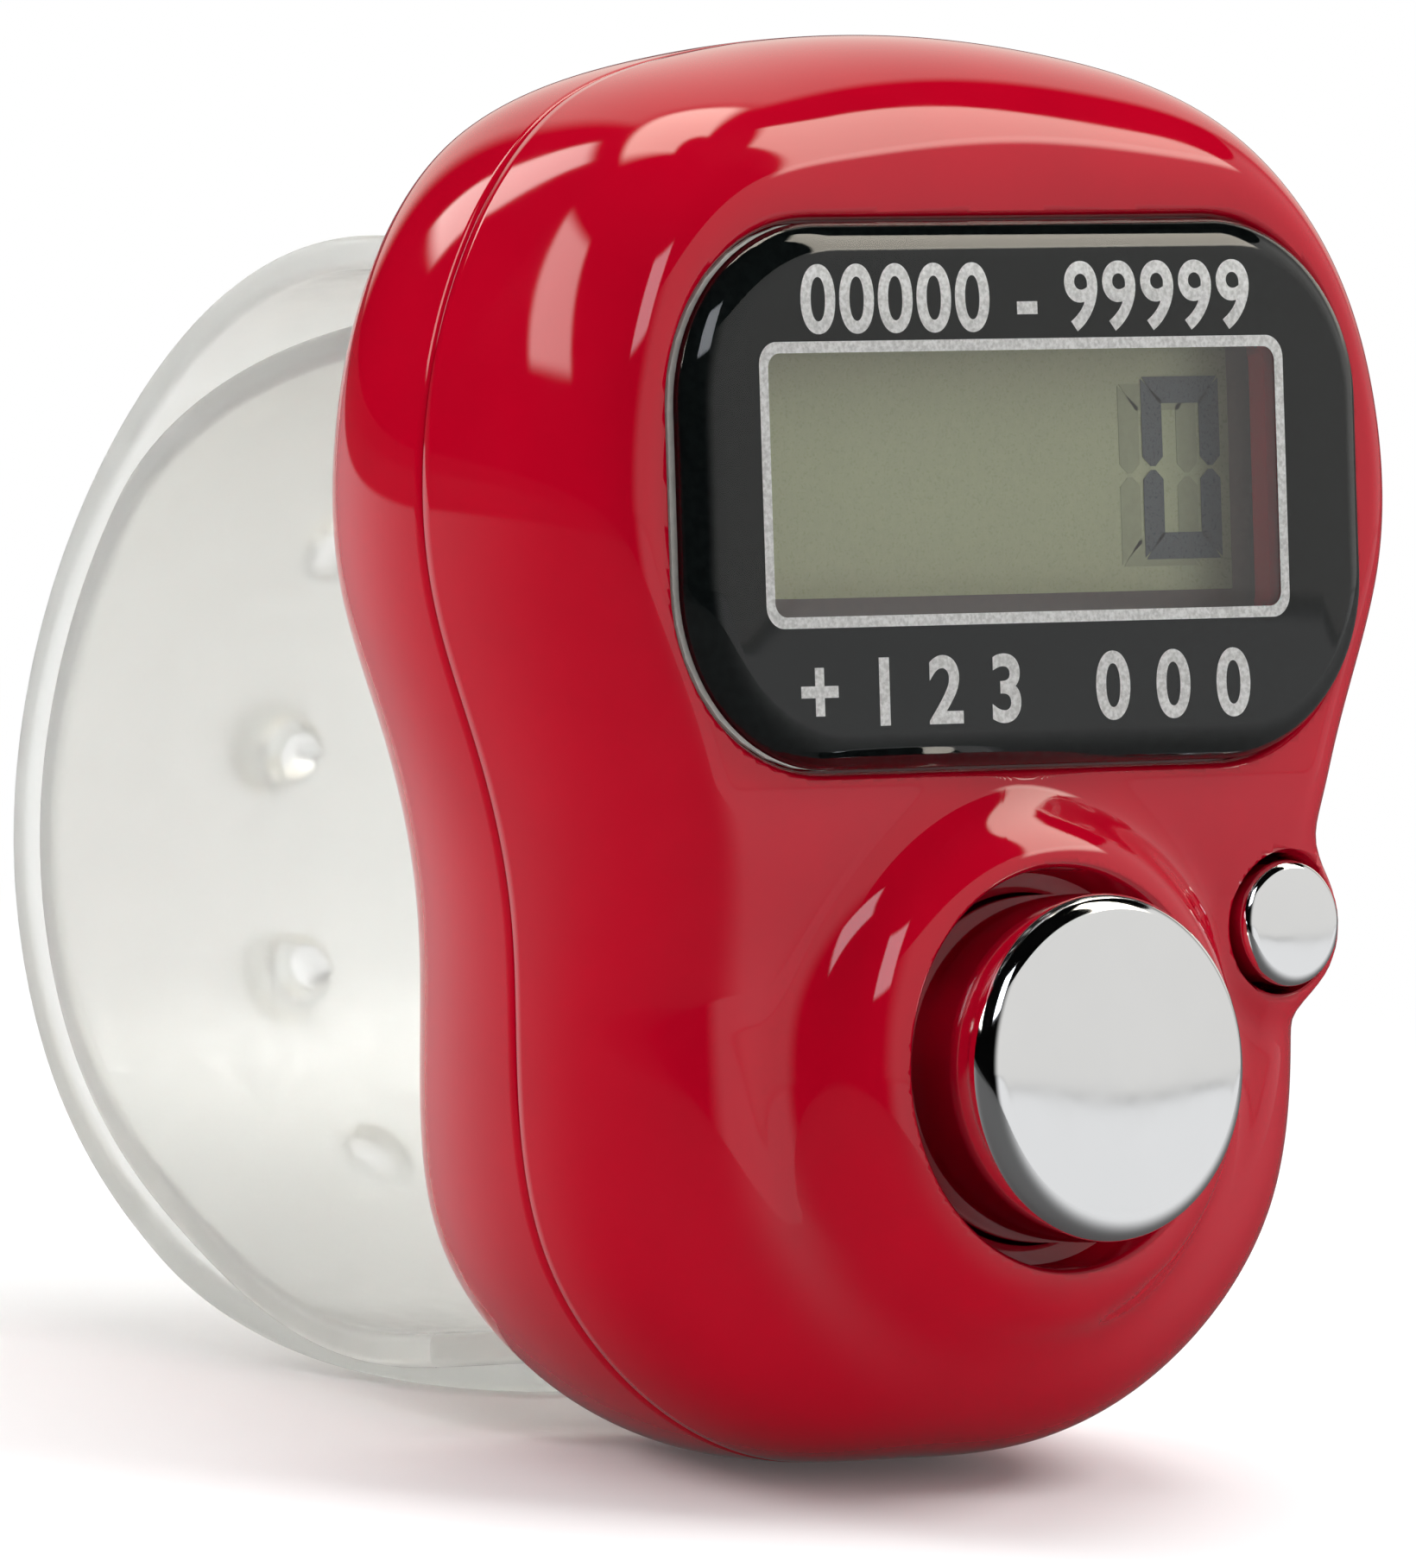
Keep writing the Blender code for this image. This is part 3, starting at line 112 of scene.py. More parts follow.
# The line where the strap's halves meet, from the top of the body round to its bottom, as
# shares of its reach behind the body and of its height
STRAP_LINE = (
    (-0.17, 0.993), (-0.05, 0.993), (0.04, 0.996), (0.169, 1.0), (0.351, 0.984),
    (0.518, 0.940), (0.666, 0.873), (0.791, 0.792), (0.891, 0.699), (0.960, 0.596),
    (0.989, 0.488), (0.970, 0.378), (0.903, 0.275), (0.790, 0.188), (0.648, 0.118),
    (0.492, 0.058), (0.320, 0.016), (0.138, 0.0), (0.04, 0.0), (-0.05, 0.0), (-0.17, 0.0),
)


def length(name, description, default):
    return FloatProperty(name=name, description=description, default=default, unit="LENGTH")


def number(name, description, default):
    return FloatProperty(name=name, description=description, default=default)


def angle(name, description, degrees):
    default = math.radians(degrees)
    return FloatProperty(name=name, description=description, default=default, subtype="ANGLE")


def colour(name, description, *default):
    return FloatVectorProperty(
        name=name, description=description, default=default, subtype="COLOR"
    )


def count(name, description, default, least):
    return IntProperty(name=name, description=description, default=default, min=least)


class BodySizes(bpy.types.PropertyGroup):
    """Sizes of the moulded body, in metres. Depths run back from 0.8 mm behind the lens's front."""

    width: length("Width", "Across the body at its widest", 0.0292)
    height: length("Height", "From the lowest point to the highest", 0.038)
    face: length("Face", "Depth of the face round the lens", 0.0002)
    face_drop: length("Face Drop", "How much deeper the face lies round the button", 0.001)
    face_drop_end: length("Drop End", "Height where the face has dropped all the way", 0.0117)
    face_drop_start: length("Drop Start", "Height where the face begins to drop", 0.0181)
    seam: length("Seam", "Depth of the parting line", 0.0071)
    back: length("Back", "Depth of the flat back", BACK)
    front_rounding: length("Front Rounding", "Greatest rounding of the front edge", 0.0044)
    back_rounding: length("Back Rounding", "Greatest rounding of the back edge", 0.004)
    boss_proud: length("Boss Height", "How far the count button's boss stands out", 0.00125)
    boss_crest: length("Boss Crest", "Radius of the top of the boss", 0.0063)
    boss_base: length("Boss Base", "Radius of the foot of the boss", 0.0084)
    boss_depth: length("Boss Depth", "Depth of the foot of the boss", 0.003)
    boss_round: length("Boss Rounding", "Of the outer edge of the boss's top", 0.0012)
    boss_blend: length("Boss Blend", "Softness of the valley round the boss", 0.0011)
    crater: length("Crater", "Radius of the dish round the count button", 0.0053)
    bore: length("Bore", "Radius of the count button's way through the shell", 0.00468)
    collar: length("Collar", "Radius of the collar round the reset button", 0.00235)
    collar_depth: length("Collar Depth", "Depth of the top of the collar", 0.0009)
    collar_blend: length("Collar Blend", "Softness of the valley round the collar", 0.0006)


class StrapSizes(bpy.types.PropertyGroup):
    """Sizes of the strap, in metres."""

    width: length("Width", "Across the strap", 0.0178)
    thickness: length("Thickness", "Of each half", 0.0009)
    gap: length("Gap", "Between the halves where they lap", 0.00025)
    back: length("Back", "Depth of the strap's furthest point", 0.0324)
    top: length("Top", "Height of the strap's highest point", 0.0331)
    bottom: length("Bottom", "Height of the meeting line at the bottom", 0.0028)
    tab: length("Tab", "Width of the tab that enters the body", 0.009)
    rounding: length("Edge Rounding", "Of the strap's long edges", 0.0003)
    upper_end: number("Upper End", "Share of the line where the outer half ends", 0.878)
    lower_end: number("Lower End", "Share of the line where the inner half ends", 0.164)
    first_hole: number("First Hole", "Share of the line where the holes begin", 0.357)
    hole_pitch: length("Hole Pitch", "From one hole to the next", 0.006)
    hole: length("Hole", "Radius of each hole", 0.00095)


class Finishes(bpy.types.PropertyGroup):
    """Colours of the pieces."""

    crimson: colour("Body", "Glossy moulded plastic", 0.40, 0.0008, 0.013)
    chrome: colour("Buttons", "Chrome plating", 0.86, 0.87, 0.88)
    border: colour("Border", "Print behind the lens", 0.006, 0.008, 0.008)
    silver: colour("Marks", "Silver print behind the lens", 0.86, 0.86, 0.84)
    display: colour("Display", "Reflector of the display", 0.375, 0.41, 0.24)
    segment: colour("Segments", "Dark segments of the display", 0.03, 0.045, 0.055)
    # Colour of the dark strips along the display's lower and right edges
    seal: colour("Seal", "Dark edge of the display's glass", 0.075, 0.055, 0.045)
    strap: colour("Strap", "Milky soft plastic", 0.97, 0.985, 0.965)


class StudioSettings(bpy.types.PropertyGroup):
    """Camera and lights."""

    distance: length("Distance", "From the camera to the lens", 0.6)
    azimuth: angle("Azimuth", "Turn of the camera to the object's left", 40.72)
    elevation: angle("Elevation", "Rise of the camera", -0.08)
    roll: angle("Roll", "Turn of the camera about its view", -1.78)
    focal_length: number("Focal Length", "Of the camera, in millimetres", 521.0)
    world_light: number("World Light", "Even light from all round", 0.76)
    side_light: number("Side Light", "How much more of it comes from the left", 0.35)


class Fineness(bpy.types.PropertyGroup):
    """How finely the pieces are divided."""

    ring_points: count("Ring Points", "Points round the body", 448, 64)
    round_steps: count("Rounding Steps", "Steps over the body's rounded edge", 46, 4)
    face_steps: count("Face Steps", "Rings from the rounded edge to the middle", 84, 2)
    turn_steps: count("Turning Steps", "Steps round each turned piece", 128, 16)


class CounterSettings(bpy.types.PropertyGroup):
    """All the settings of the tally counter."""

    body: PointerProperty(type=BodySizes, name="Body", description="Sizes of the body")
    strap: PointerProperty(type=StrapSizes, name="Strap", description="Sizes of the strap")
    finishes: PointerProperty(type=Finishes, name="Finishes", description="Colours")
    studio: PointerProperty(type=StudioSettings, name="Studio", description="Camera, lights")
    fineness: PointerProperty(type=Fineness, name="Fineness", description="Mesh fineness")


def smooth_step(start, end, value):
    share = np.clip((value - start) / (end - start), 0, 1)
    return share * share * (3 - 2 * share)


def spline(keys, points, closed):
    """Evenly spaced points of a smooth curve through the keys, with its bending continuous."""
    keys = np.asarray(keys, float)
    size = len(keys)
    following = np.roll(keys, -1, axis=0)
    lengths = np.linalg.norm((following - keys)[:, :2], axis=1)
    before = np.roll(lengths, 1)
    slopes = (following - keys) / lengths[:, None]
    matrix = np.diag(2 * (before + lengths))
    for i in range(size):
        matrix[i, i - 1] += before[i]
        matrix[i, (i + 1) % size] += lengths[i]
    right = 6 * (slopes - np.roll(slopes, 1, axis=0))
    if not closed:
        for i in (0, size - 1):
            matrix[i] = 0
            matrix[i, i] = 1
            right[i] = 0
    bend = np.linalg.solve(matrix, right)
    dense = []
    for i in range(size if closed else size - 1):
        after = (i + 1) % size
        for t in np.linspace(0, 1, 60, endpoint=False):
            straight = keys[i] * (1 - t) + keys[after] * t
            pull = bend[i] * ((1 - t) ** 3 - (1 - t)) + bend[after] * (t**3 - t)
            dense.append(straight + pull * lengths[i] ** 2 / 6)
    dense.append(keys[0] if closed else keys[-1])
    dense = np.array(dense)
    run = np.linalg.norm(np.diff(dense[:, :2], axis=0), axis=1)
    run = np.concatenate([[0], np.cumsum(run)])
    wanted = np.linspace(0, run[-1], points, endpoint=not closed)
    return np.stack([np.interp(wanted, run, column) for column in dense.T], axis=1)


def new_object(name, data):
    made = bpy.data.objects.new(name, data)
    bpy.context.scene.collection.objects.link(made)
    return made


def tidy(mesh, merge=1e-7):
    """Merge doubled points and turn the faces outwards."""
    shape = bmesh.new()
    shape.from_mesh(mesh)
    bmesh.ops.remove_doubles(shape, verts=shape.verts, dist=merge)
    bmesh.ops.recalc_face_normals(shape, faces=shape.faces)
    shape.to_mesh(mesh)
    shape.free()
    return mesh


def smooth(mesh, degrees=35):
    mesh.shade_smooth()
    mesh.set_sharp_from_angle(angle=math.radians(degrees))


def evaluated_mesh(made):
    graph = bpy.context.evaluated_depsgraph_get()
    graph.update()
    return bpy.data.meshes.new_from_object(made.evaluated_get(graph))


def bake(made):
    """Put a plain mesh in the place of the object's modifiers."""
    mesh = evaluated_mesh(made)
    made.modifiers.clear()
    made.data = mesh


def boolean(target, tool, operation="DIFFERENCE"):
    """Cut or join with one object, which is used up."""
    step = target.modifiers.new(operation.lower(), "BOOLEAN")
    step.operation = operation
    step.solver = "MANIFOLD"
    step.object = tool
    bake(target)
    bpy.data.objects.remove(tool, do_unlink=True)
    return target


def finish_piece(made, body, nodes, material):
    """Give a piece its finish, its body and the nodes that it stands for."""
    made.data.materials.clear()
    made.data.materials.append(material)
    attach(made, body)
    if nodes:
        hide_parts(*nodes)


def solid(name, points, faces):
    mesh = bpy.data.meshes.new(name)
    mesh.from_pydata([tuple(point) for point in points], [], faces)
    return new_object(name, tidy(mesh))


def band(first, second, size):
    """Faces between two rings of one size, whose points begin at first and at second."""
    pairs = [(i, (i + 1) % size) for i in range(size)]
    return [(first + i, first + j, second + j, second + i) for i, j in pairs]


def ring_solid(name, rings, pole=None):
    """A closed solid over rings of one size, with flat ends or a pole at the last one."""
    size = len(rings[0])
    last = (len(rings) - 1) * size
    points = [point for ring in rings for point in ring]
    faces = [face for row in range(0, last, size) for face in band(row, row + size, size)]
    faces.append(tuple(range(size)))
    if pole is None:
        faces.append(tuple(range(last, last + size)))
    else:
        faces += [(last + i, last + (i + 1) % size, len(points)) for i in range(size)]
        points.append(pole)
    return solid(name, points, faces)


def turned(name, profile, middle, steps, upright=False):
    """A solid turned about Y at (x, z), from (radius, y), or about Z at (x, y)."""
    turns = np.linspace(0, 2 * math.pi, steps, endpoint=False)
    rings = []
    for radius, place in profile:
        ring = [
            (middle[0] + radius * math.cos(t), middle[1] + radius * math.sin(t)) for t in turns
        ]
        rings.append([(a, b, place) if upright else (a, place, b) for a, b in ring])
    return ring_solid(name, rings)


def rounded_rectangle(width, height, corner, steps):
    points = []
    for quarter, (side, up) in enumerate(((1, 1), (-1, 1), (-1, -1), (1, -1))):
        for i in range(steps + 1):
            turn = math.pi / 2 * (quarter + i / steps)
            points.append((
                side * (width / 2 - corner) + corner * math.cos(turn),
                up * (height / 2 - corner) + corner * math.sin(turn),
            ))
    return points


def lens_outline(inset):
    """Width, height, corner and middle height of the lens, drawn in on every side."""
    size = LENS_BOX[1] - LENS_BOX[0]
    middle = (LENS_BOX[0].z + LENS_BOX[1].z) / 2
    return size.x - 2 * inset, size.z - 2 * inset, 0.0049 - inset, middle


def plate_rings(layers, steps):
    """Rings of rounded rectangles: layers of (width, height, corner, middle height, y)."""
    rings = []
    for width, height, corner, middle, place in layers:
        outline = rounded_rectangle(width, height, corner, steps)
        rings.append([(x, place, middle + z) for x, z in outline])
    return rings


def plate(name, layers, steps):
    return ring_solid(name, plate_rings(layers, steps))


def framed_plate(name, layers):
    """A plate with a window in it, whose layers run once round its section."""
    rings = plate_rings([(*layer, depth + ZERO) for *layer, depth in layers], 20)
    size = len(rings[0])
    starts = range(0, len(rings) * size, size)
    faces = []
    for first in starts:
        faces += band(first, (first + size) % (len(rings) * size), size)
    return solid(name, [point for ring in rings for point in ring], faces)


def block(name, middle, span):
    rings = []
    for up in (-0.5, 0.5):
        corners = ((-0.5, -0.5, up), (0.5, -0.5, up), (0.5, 0.5, up), (-0.5, 0.5, up))
        rings.append([
            tuple(middle[i] + corner[i] * span[i] for i in range(3)) for corner in corners
        ])
    return ring_solid(name, rings)


def inward_of(outline):
    """Directions at right angles to a closed outline, to the left as it runs."""
    along = np.roll(outline, -1, axis=0) - np.roll(outline, 1, axis=0)
    inward = np.stack([-along[:, 1], along[:, 0]], axis=1)
    return inward / np.linalg.norm(inward, axis=1)[:, None]


class Skin:
    """The body's skin, worked out on a ring of points round its outline."""

    def __init__(self, sizes, points):
        self.sizes = sizes
        half = [
            (
                x * sizes.width / 2, z * sizes.height,
                front * sizes.front_rounding, back * sizes.back_rounding,
            )
            for x, z, front, back in OUTLINE
        ]
        other_half = [(-x, *others) for x, *others in half[-2:0:-1]]
        self.points = spline(half + other_half, points, closed=True)
        self.inward = -inward_of(self.points[:, :2])

    def face(self, height):
        """Depth of the face, which lies deeper below the lens."""
        sizes = self.sizes
        fall = 1 - smooth_step(sizes.face_drop_end, sizes.face_drop_start, height)
        return sizes.face + sizes.face_drop * fall

    def flat(self, inset, depth):
        points = self.points[:, :2] + self.inward * inset
        depths = np.full(len(points), depth + ZERO)
        return np.stack([points[:, 0], depths, points[:, 1]], axis=1)

    def rounded(self, inset, turn, towards_back, share):
        """A ring on the rounded edge, at a turn from the seam, nought, to the flat, one."""
        sizes = self.sizes
        out = math.cos(turn * math.pi / 2) ** 0.9
        deep = math.sin(turn * math.pi / 2) ** 0.9
        rounding = self.points[:, 3 if towards_back else 2] * share
        move = (inset + rounding * (1 - out))[:, None]
        place = self.points[:, :2] + self.inward * move
        if towards_back:
            end = np.full(len(place), sizes.back - inset)
        else:
            end = self.face(place[:, 1]) + inset
        depth = sizes.seam + (end - sizes.seam) * deep + ZERO
        return np.stack([place[:, 0], depth, place[:, 1]], axis=1)

    def half(self, inset, towards_back, start, steps, face_steps=0, share=1.0):
        """Rings from the seam to the edge of the flat, and on towards the middle."""
        rings = [self.flat(inset, start)]
        turns = np.linspace(0, 1, steps + 1)[1:]
        rings += [self.rounded(inset, turn, towards_back, share) for turn in turns]
        middle = self.sizes.height / 2
        edge = rings[-1]
        for size in np.linspace(1, 0, face_steps + 2)[1:-1]:
            height = middle + (edge[:, 2] - middle) * size
            depth = edge[:, 1]
            if not towards_back:
                depth = self.face(height) + inset + ZERO
            rings.append(np.stack([edge[:, 0] * size, depth, height], axis=1))
        return rings


def outward_normals(grid):
    """Normals of a grid of rings, pointing away from the body."""
    around = np.roll(grid, -1, axis=1) - np.roll(grid, 1, axis=1)
    along = np.gradient(grid, axis=0)
    normals = np.cross(around, along)
    normals /= np.maximum(np.linalg.norm(normals, axis=2), 1e-12)[:, :, None]
    middle = grid[0].mean(axis=0)
    if np.sum(normals[0] * (grid[0] - middle)) < 0:
        normals = -normals
    return normals


def blended(first, second, reach):
    """The lesser of two distances, eased where they come within reach of each other."""
    near = np.maximum(reach - np.abs(first - second), 0) / reach
    return np.minimum(first, second) - near**2 * reach / 4


def boss_distance(points, sizes):
    """Distance to the count button's boss, a low cone with a rounded top."""
    across = np.hypot(points[..., 0] - COUNT_AT[0], points[..., 2] - COUNT_AT[1])
    below = points[..., 1] - ZERO + sizes.boss_proud
    tall = sizes.boss_depth + sizes.boss_proud
    lean = (sizes.boss_base - sizes.boss_crest) / tall
    side = across - sizes.boss_crest - lean * np.clip(below, 0, tall)
    side = side / math.hypot(1, lean)
    near = np.maximum(sizes.boss_round - np.abs(side + below), 0) / sizes.boss_round
    return np.maximum(side, -below) + near**2 * sizes.boss_round / 4


def collar_distance(points, sizes):
    """Distance to the low collar round the reset button."""
    edge = 0.0004
    across = np.hypot(points[..., 0] - RESET_AT[0], points[..., 2] - RESET_AT[1])
    out = across - (sizes.collar - edge)
    above = sizes.collar_depth + edge + ZERO - points[..., 1]
    outside = np.hypot(np.maximum(out, 0), np.maximum(above, 0))
    return outside + np.minimum(np.maximum(out, above), 0) - edge


def evened(values, passes):
    """Mean of each value and its neighbours, along the rings and across them."""
    for _ in range(passes):
        values = (np.roll(values, 1, 1) + 2 * values + np.roll(values, -1, 1)) / 4
        padded = np.concatenate((values[:1], values, values[-1:]))
        values = (padded[:-2] + 2 * values + padded[2:]) / 4
    return values


def raise_bosses(rings, sizes):
    """Push the skin outwards until it covers the boss and the collar in one soft surface."""
    grid = np.array(rings)
    normals = outward_normals(grid)
    low = np.zeros(grid.shape[:2])
    high = np.full(grid.shape[:2], 0.006)
    for _ in range(26):
        middle = (low + high) / 2
        spot = grid + normals * middle[:, :, None]
        distance = blended(middle, boss_distance(spot, sizes), sizes.boss_blend)
        distance = blended(distance, collar_distance(spot, sizes), sizes.collar_blend)
        inside = distance <= 0
        low = np.where(inside, middle, low)
        high = np.where(inside, high, middle)
    return list(grid + normals * evened(low, 3)[:, :, None])


def cut_hollow(shell, node, towards_back, sizes):
    """Cut the room out of a shell: all that lies well within the skin, less the CAD shell."""
    start = sizes.seam + (-0.0015 if towards_back else 0.0015)
    rings = Skin(sizes, 96).half(0.0007, towards_back, start, 6, share=0.85)
    copy = new_object("copy", tidy(frame["nodes"][node].data.copy(), 1e-6))
    boolean(shell, boolean(ring_solid("room", rings), copy))


def count_button_way(sizes, steps):
    """The dish round the count button, and its way through the shell."""
    crest = -sizes.boss_proud + ZERO
    lip = 0.00035
    steepest = math.radians(15)
    edge = [
        (sizes.crater + lip - lip * math.sin(turn), crest + lip - lip * math.cos(turn))
        for turn in np.linspace(steepest, math.radians(80), 7)
    ]
    flare = (edge[0][0] + 0.001 * math.cos(steepest), edge[0][1] - 0.001 * math.sin(steepest))
    ledge = 0.00065 + ZERO
    end = 0.0021 + ZERO
    profile = [
        (0.0001, crest - 0.003), (flare[0], crest - 0.003), flare, *edge,
        (sizes.crater - 0.00002, crest + 0.0014), (sizes.crater - 0.00012, crest + 0.0017),
        (sizes.crater - 0.0004, crest + 0.0018), (sizes.bore + 0.00004, crest + 0.0018),
        (sizes.bore, crest + 0.00184), (sizes.bore, ledge),
        (0.0056, ledge), (0.0056, end), (0.0001, end),
    ]
    return turned("crater", profile, COUNT_AT, steps)


def make_front(settings, look):
    sizes = settings.body
    fine = settings.fineness
    skin = Skin(sizes, fine.ring_points)
    rings = skin.half(0, False, sizes.seam, fine.round_steps, fine.face_steps)
    rings = raise_bosses(rings, sizes)
    edge = skin.flat(0.00005, sizes.seam - 0.000015)
    rings[0][:, 1] = sizes.seam - 0.00006 + ZERO
    shell = ring_solid("moulded_front", [edge, *rings], rings[-1].mean(axis=0))
    cut_hollow(shell, "front_shell", False, sizes)
    boolean(shell, count_button_way(sizes, fine.turn_steps))
    collar = sizes.collar_depth + ZERO
    bore = [
        (0.0001, -0.001 + ZERO), (0.0020, -0.001 + ZERO), (0.0020, collar),
        (0.0019, collar + 0.0001), (0.0019, 0.0036 + ZERO), (0.0001, 0.0036 + ZERO),
    ]
    boolean(shell, turned("bore", bore, RESET_AT, 64))
    steps = ((0.0005, -0.001), (0.00035, 0.0001), (0.00006, 0.0004), (0.00006, 0.00075))
    recess = [(*lens_outline(-grow), depth + ZERO) for grow, depth in steps]
    boolean(shell, plate("recess", recess, 16))
    window = [(0.0178, 0.0071, 0.0005, WINDOW_HEIGHT, y + ZERO) for y in (-0.001, 0.0014)]
    boolean(shell, plate("window", window, 6))
    smooth(tidy(shell.data))
    finish_piece(shell, "housing", ["front_shell"], look)


def make_rear(settings, look):
    sizes = settings.body
    fine = settings.fineness
    skin = Skin(sizes, fine.ring_points)
    rings = skin.half(0, True, sizes.seam, fine.round_steps)
    rings[0][:, 1] = sizes.seam + 0.00006 + ZERO
    tongue = [
        skin.flat(inset, sizes.seam + depth)
        for inset, depth in ((0.001, -0.0008), (0.001, 0.000015), (0.00005, 0.000015))
    ]
    shell = ring_solid("moulded_rear", [*tongue, *rings])
    cut_hollow(shell, "rear_case", True, sizes)
    back = sizes.back + ZERO
    screw_way = [
        (0.0001, back - 0.0015), (0.00155, back - 0.0015), (0.00155, back - 0.00015),
        (0.0019, back + 0.0002), (0.0019, back + 0.001), (0.0001, back + 0.001),
    ]
    for side in (-1, 1):
        boolean(shell, turned("screw_way", screw_way, (side * 0.0085, 0.0172), 48))
    for node in ("strap_upper", "strap_lower"):
        height = root_height(node)
        slot = [
            (0.0094, 0.0012, 0.0005, height, back - 0.0012),
            (0.0094, 0.0012, 0.0005, height, back - 0.0001),
            (0.0098, 0.0016, 0.0007, height, back + 0.0002),
        ]
        boolean(shell, plate("slot", slot, 6))
    smooth(tidy(shell.data))
    finish_piece(shell, "housing", ["rear_case"], look)


def root_height(node):
    """Height of the middle of a strap half where it leaves the body."""
    points = np.array([vertex.co for vertex in frame["nodes"][node].data.vertices])
    near = points[np.abs(points[:, 1] - (BACK + ZERO)) < 0.0006]
    return (near[:, 2].min() + near[:, 2].max()) / 2


def node(tree, kind, values=None, **settings):
    """A new node with its settings, and with its inputs given as sockets or plain values."""
    made = tree.nodes.new(kind)
    for name, value in settings.items():
        setattr(made, name, value)
    for name, value in (values or {}).items():
        if isinstance(value, bpy.types.NodeSocket):
            tree.links.new(value, made.inputs[name])
        else:
            made.inputs[name].default_value = value
    return made


def maths(tree, operation, first, second=None):
    """Result of a Math node on sockets or numbers."""
    values = {0: first} if second is None else {0: first, 1: second}
    return node(tree, "ShaderNodeMath", values, operation=operation).outputs[0]


def vector_maths(tree, operation, first, second, result="Vector"):
    values = {0: first, 1: second}
    return node(tree, "ShaderNodeVectorMath", values, operation=operation).outputs[result]


def scaled(tree, vector, factor):
    values = {0: vector, "Scale": factor}
    return node(tree, "ShaderNodeVectorMath", values, operation="SCALE").outputs["Vector"]


def summed(tree, parts):
    total = parts[0]
    for part in parts[1:]:
        total = maths(tree, "ADD", total, part)
    return total


def new_tree(name, inputs):
    """A tree with inputs of (name, kind, default), and the sockets that give them."""
    tree = bpy.data.node_groups.new(name, "GeometryNodeTree")
    tree.is_modifier = True
    for label, kind, default in (*inputs, ("Material", "Material", None)):
        kind = f"NodeSocket{kind}"
        made = tree.interface.new_socket(name=label, in_out="INPUT", socket_type=kind)
        if default is not None:
            made.default_value = default
    return tree, node(tree, "NodeGroupInput").outputs


def close_tree(tree, geometry, material):
    """Realize the instances, set the material and end the tree."""
    whole = node(tree, "GeometryNodeRealizeInstances", {"Geometry": geometry}).outputs[0]
    values = {"Geometry": whole, "Material": material}
    painted = node(tree, "GeometryNodeSetMaterial", values).outputs[0]
    tree.interface.new_socket(name="Geometry", in_out="OUTPUT", socket_type="NodeSocketGeometry")
    node(tree, "NodeGroupOutput", {0: painted})
    return tree


def position(tree):
    """The point's own place, whole and as X, Y and Z."""
    place = node(tree, "GeometryNodeInputPosition").outputs[0]
    return place, node(tree, "ShaderNodeSeparateXYZ", {0: place}).outputs


def turning_tree():
    """Turns a profile of (radius, depth) points about Y into a closed solid."""
    tree, given = new_tree("Turned Piece", (
        ("Profile", "Geometry", None), ("Profile Points", "Int", 8), ("Steps", "Int", 64),
        ("Middle", "Vector", (0.0, 0.0, 0.0)),
    ))
    grid = node(tree, "GeometryNodeMeshGrid", {
        "Size X": 1.0, "Size Y": 1.0, "Vertices X": given["Profile Points"],
        "Vertices Y": maths(tree, "ADD", given["Steps"], 1),
    })
    whole, place = position(tree)
    share = maths(tree, "ADD", place["X"], 0.5)
    last = maths(tree, "SUBTRACT", given["Profile Points"], 1)
    index = maths(tree, "ROUND", maths(tree, "MULTIPLY", share, last))
    values = {"Geometry": given["Profile"], "Value": whole, "Index": index}
    sample = node(tree, "GeometryNodeSampleIndex", values, data_type="FLOAT_VECTOR")
    profile = node(tree, "ShaderNodeSeparateXYZ", {0: sample.outputs[0]}).outputs
    turn = maths(tree, "MULTIPLY", maths(tree, "ADD", place["Y"], 0.5), 2 * math.pi)
    spot = node(tree, "ShaderNodeCombineXYZ", {
        "X": maths(tree, "MULTIPLY", profile["X"], maths(tree, "COSINE", turn)),
        "Y": profile["Y"],
        "Z": maths(tree, "MULTIPLY", profile["X"], maths(tree, "SINE", turn)),
    }).outputs[0]
    spot = vector_maths(tree, "ADD", spot, given["Middle"])
    values = {"Geometry": grid.outputs["Mesh"], "Position": spot}
    values = {"Geometry": node(tree, "GeometryNodeSetPosition", values).outputs[0]}
    values["Distance"] = 1e-6
    merge = node(tree, "GeometryNodeMergeByDistance", values)
    return close_tree(tree, merge.outputs[0], given["Material"])


def path_tree():
    """Bends a flat strip along a path: X runs across it, Y along the path and Z outwards."""
    tree, given = new_tree("Strip On Path", (
        ("Strip", "Geometry", None), ("Path", "Object", None)
    ))
    path = node(tree, "GeometryNodeObjectInfo", {"Object": given["Path"]})
    place = position(tree)[1]
    values = {"Curves": path.outputs["Geometry"], "Length": place["Y"]}
    sample = node(
        tree, "GeometryNodeSampleCurve", values, mode="LENGTH", use_all_curves=True
    ).outputs
    outward = vector_maths(tree, "CROSS_PRODUCT", (1.0, 0.0, 0.0), sample["Tangent"])
    spot = vector_maths(tree, "ADD", sample["Position"], scaled(tree, outward, place["Z"]))
    across = node(tree, "ShaderNodeCombineXYZ", {"X": place["X"]}).outputs[0]
    spot = vector_maths(tree, "ADD", spot, across)
    move = node(tree, "GeometryNodeSetPosition", {"Geometry": given["Strip"], "Position": spot})
    return close_tree(tree, move.outputs[0], given["Material"])


def segment_tree():
    """Sets one display segment on each point, with the point's own angle and mirroring."""
    tree, given = new_tree("Display Segments", (
        ("Places", "Geometry", None), ("Segment", "Object", None)
    ))
    segment = node(tree, "GeometryNodeObjectInfo", {"Object": given["Segment"]})
    kind = "GeometryNodeInputNamedAttribute"
    turn, flip = (
        node(tree, kind, {"Name": name}, data_type="FLOAT_VECTOR").outputs["Attribute"]
        for name in ("angle", "flip")
    )
    spread = node(tree, "GeometryNodeInstanceOnPoints", {
        "Points": given["Places"], "Instance": segment.outputs["Geometry"], "Scale": flip,
        "Rotation": node(tree, "FunctionNodeEulerToRotation", {0: turn}).outputs[0],
    })
    return close_tree(tree, spread.outputs[0], given["Material"])


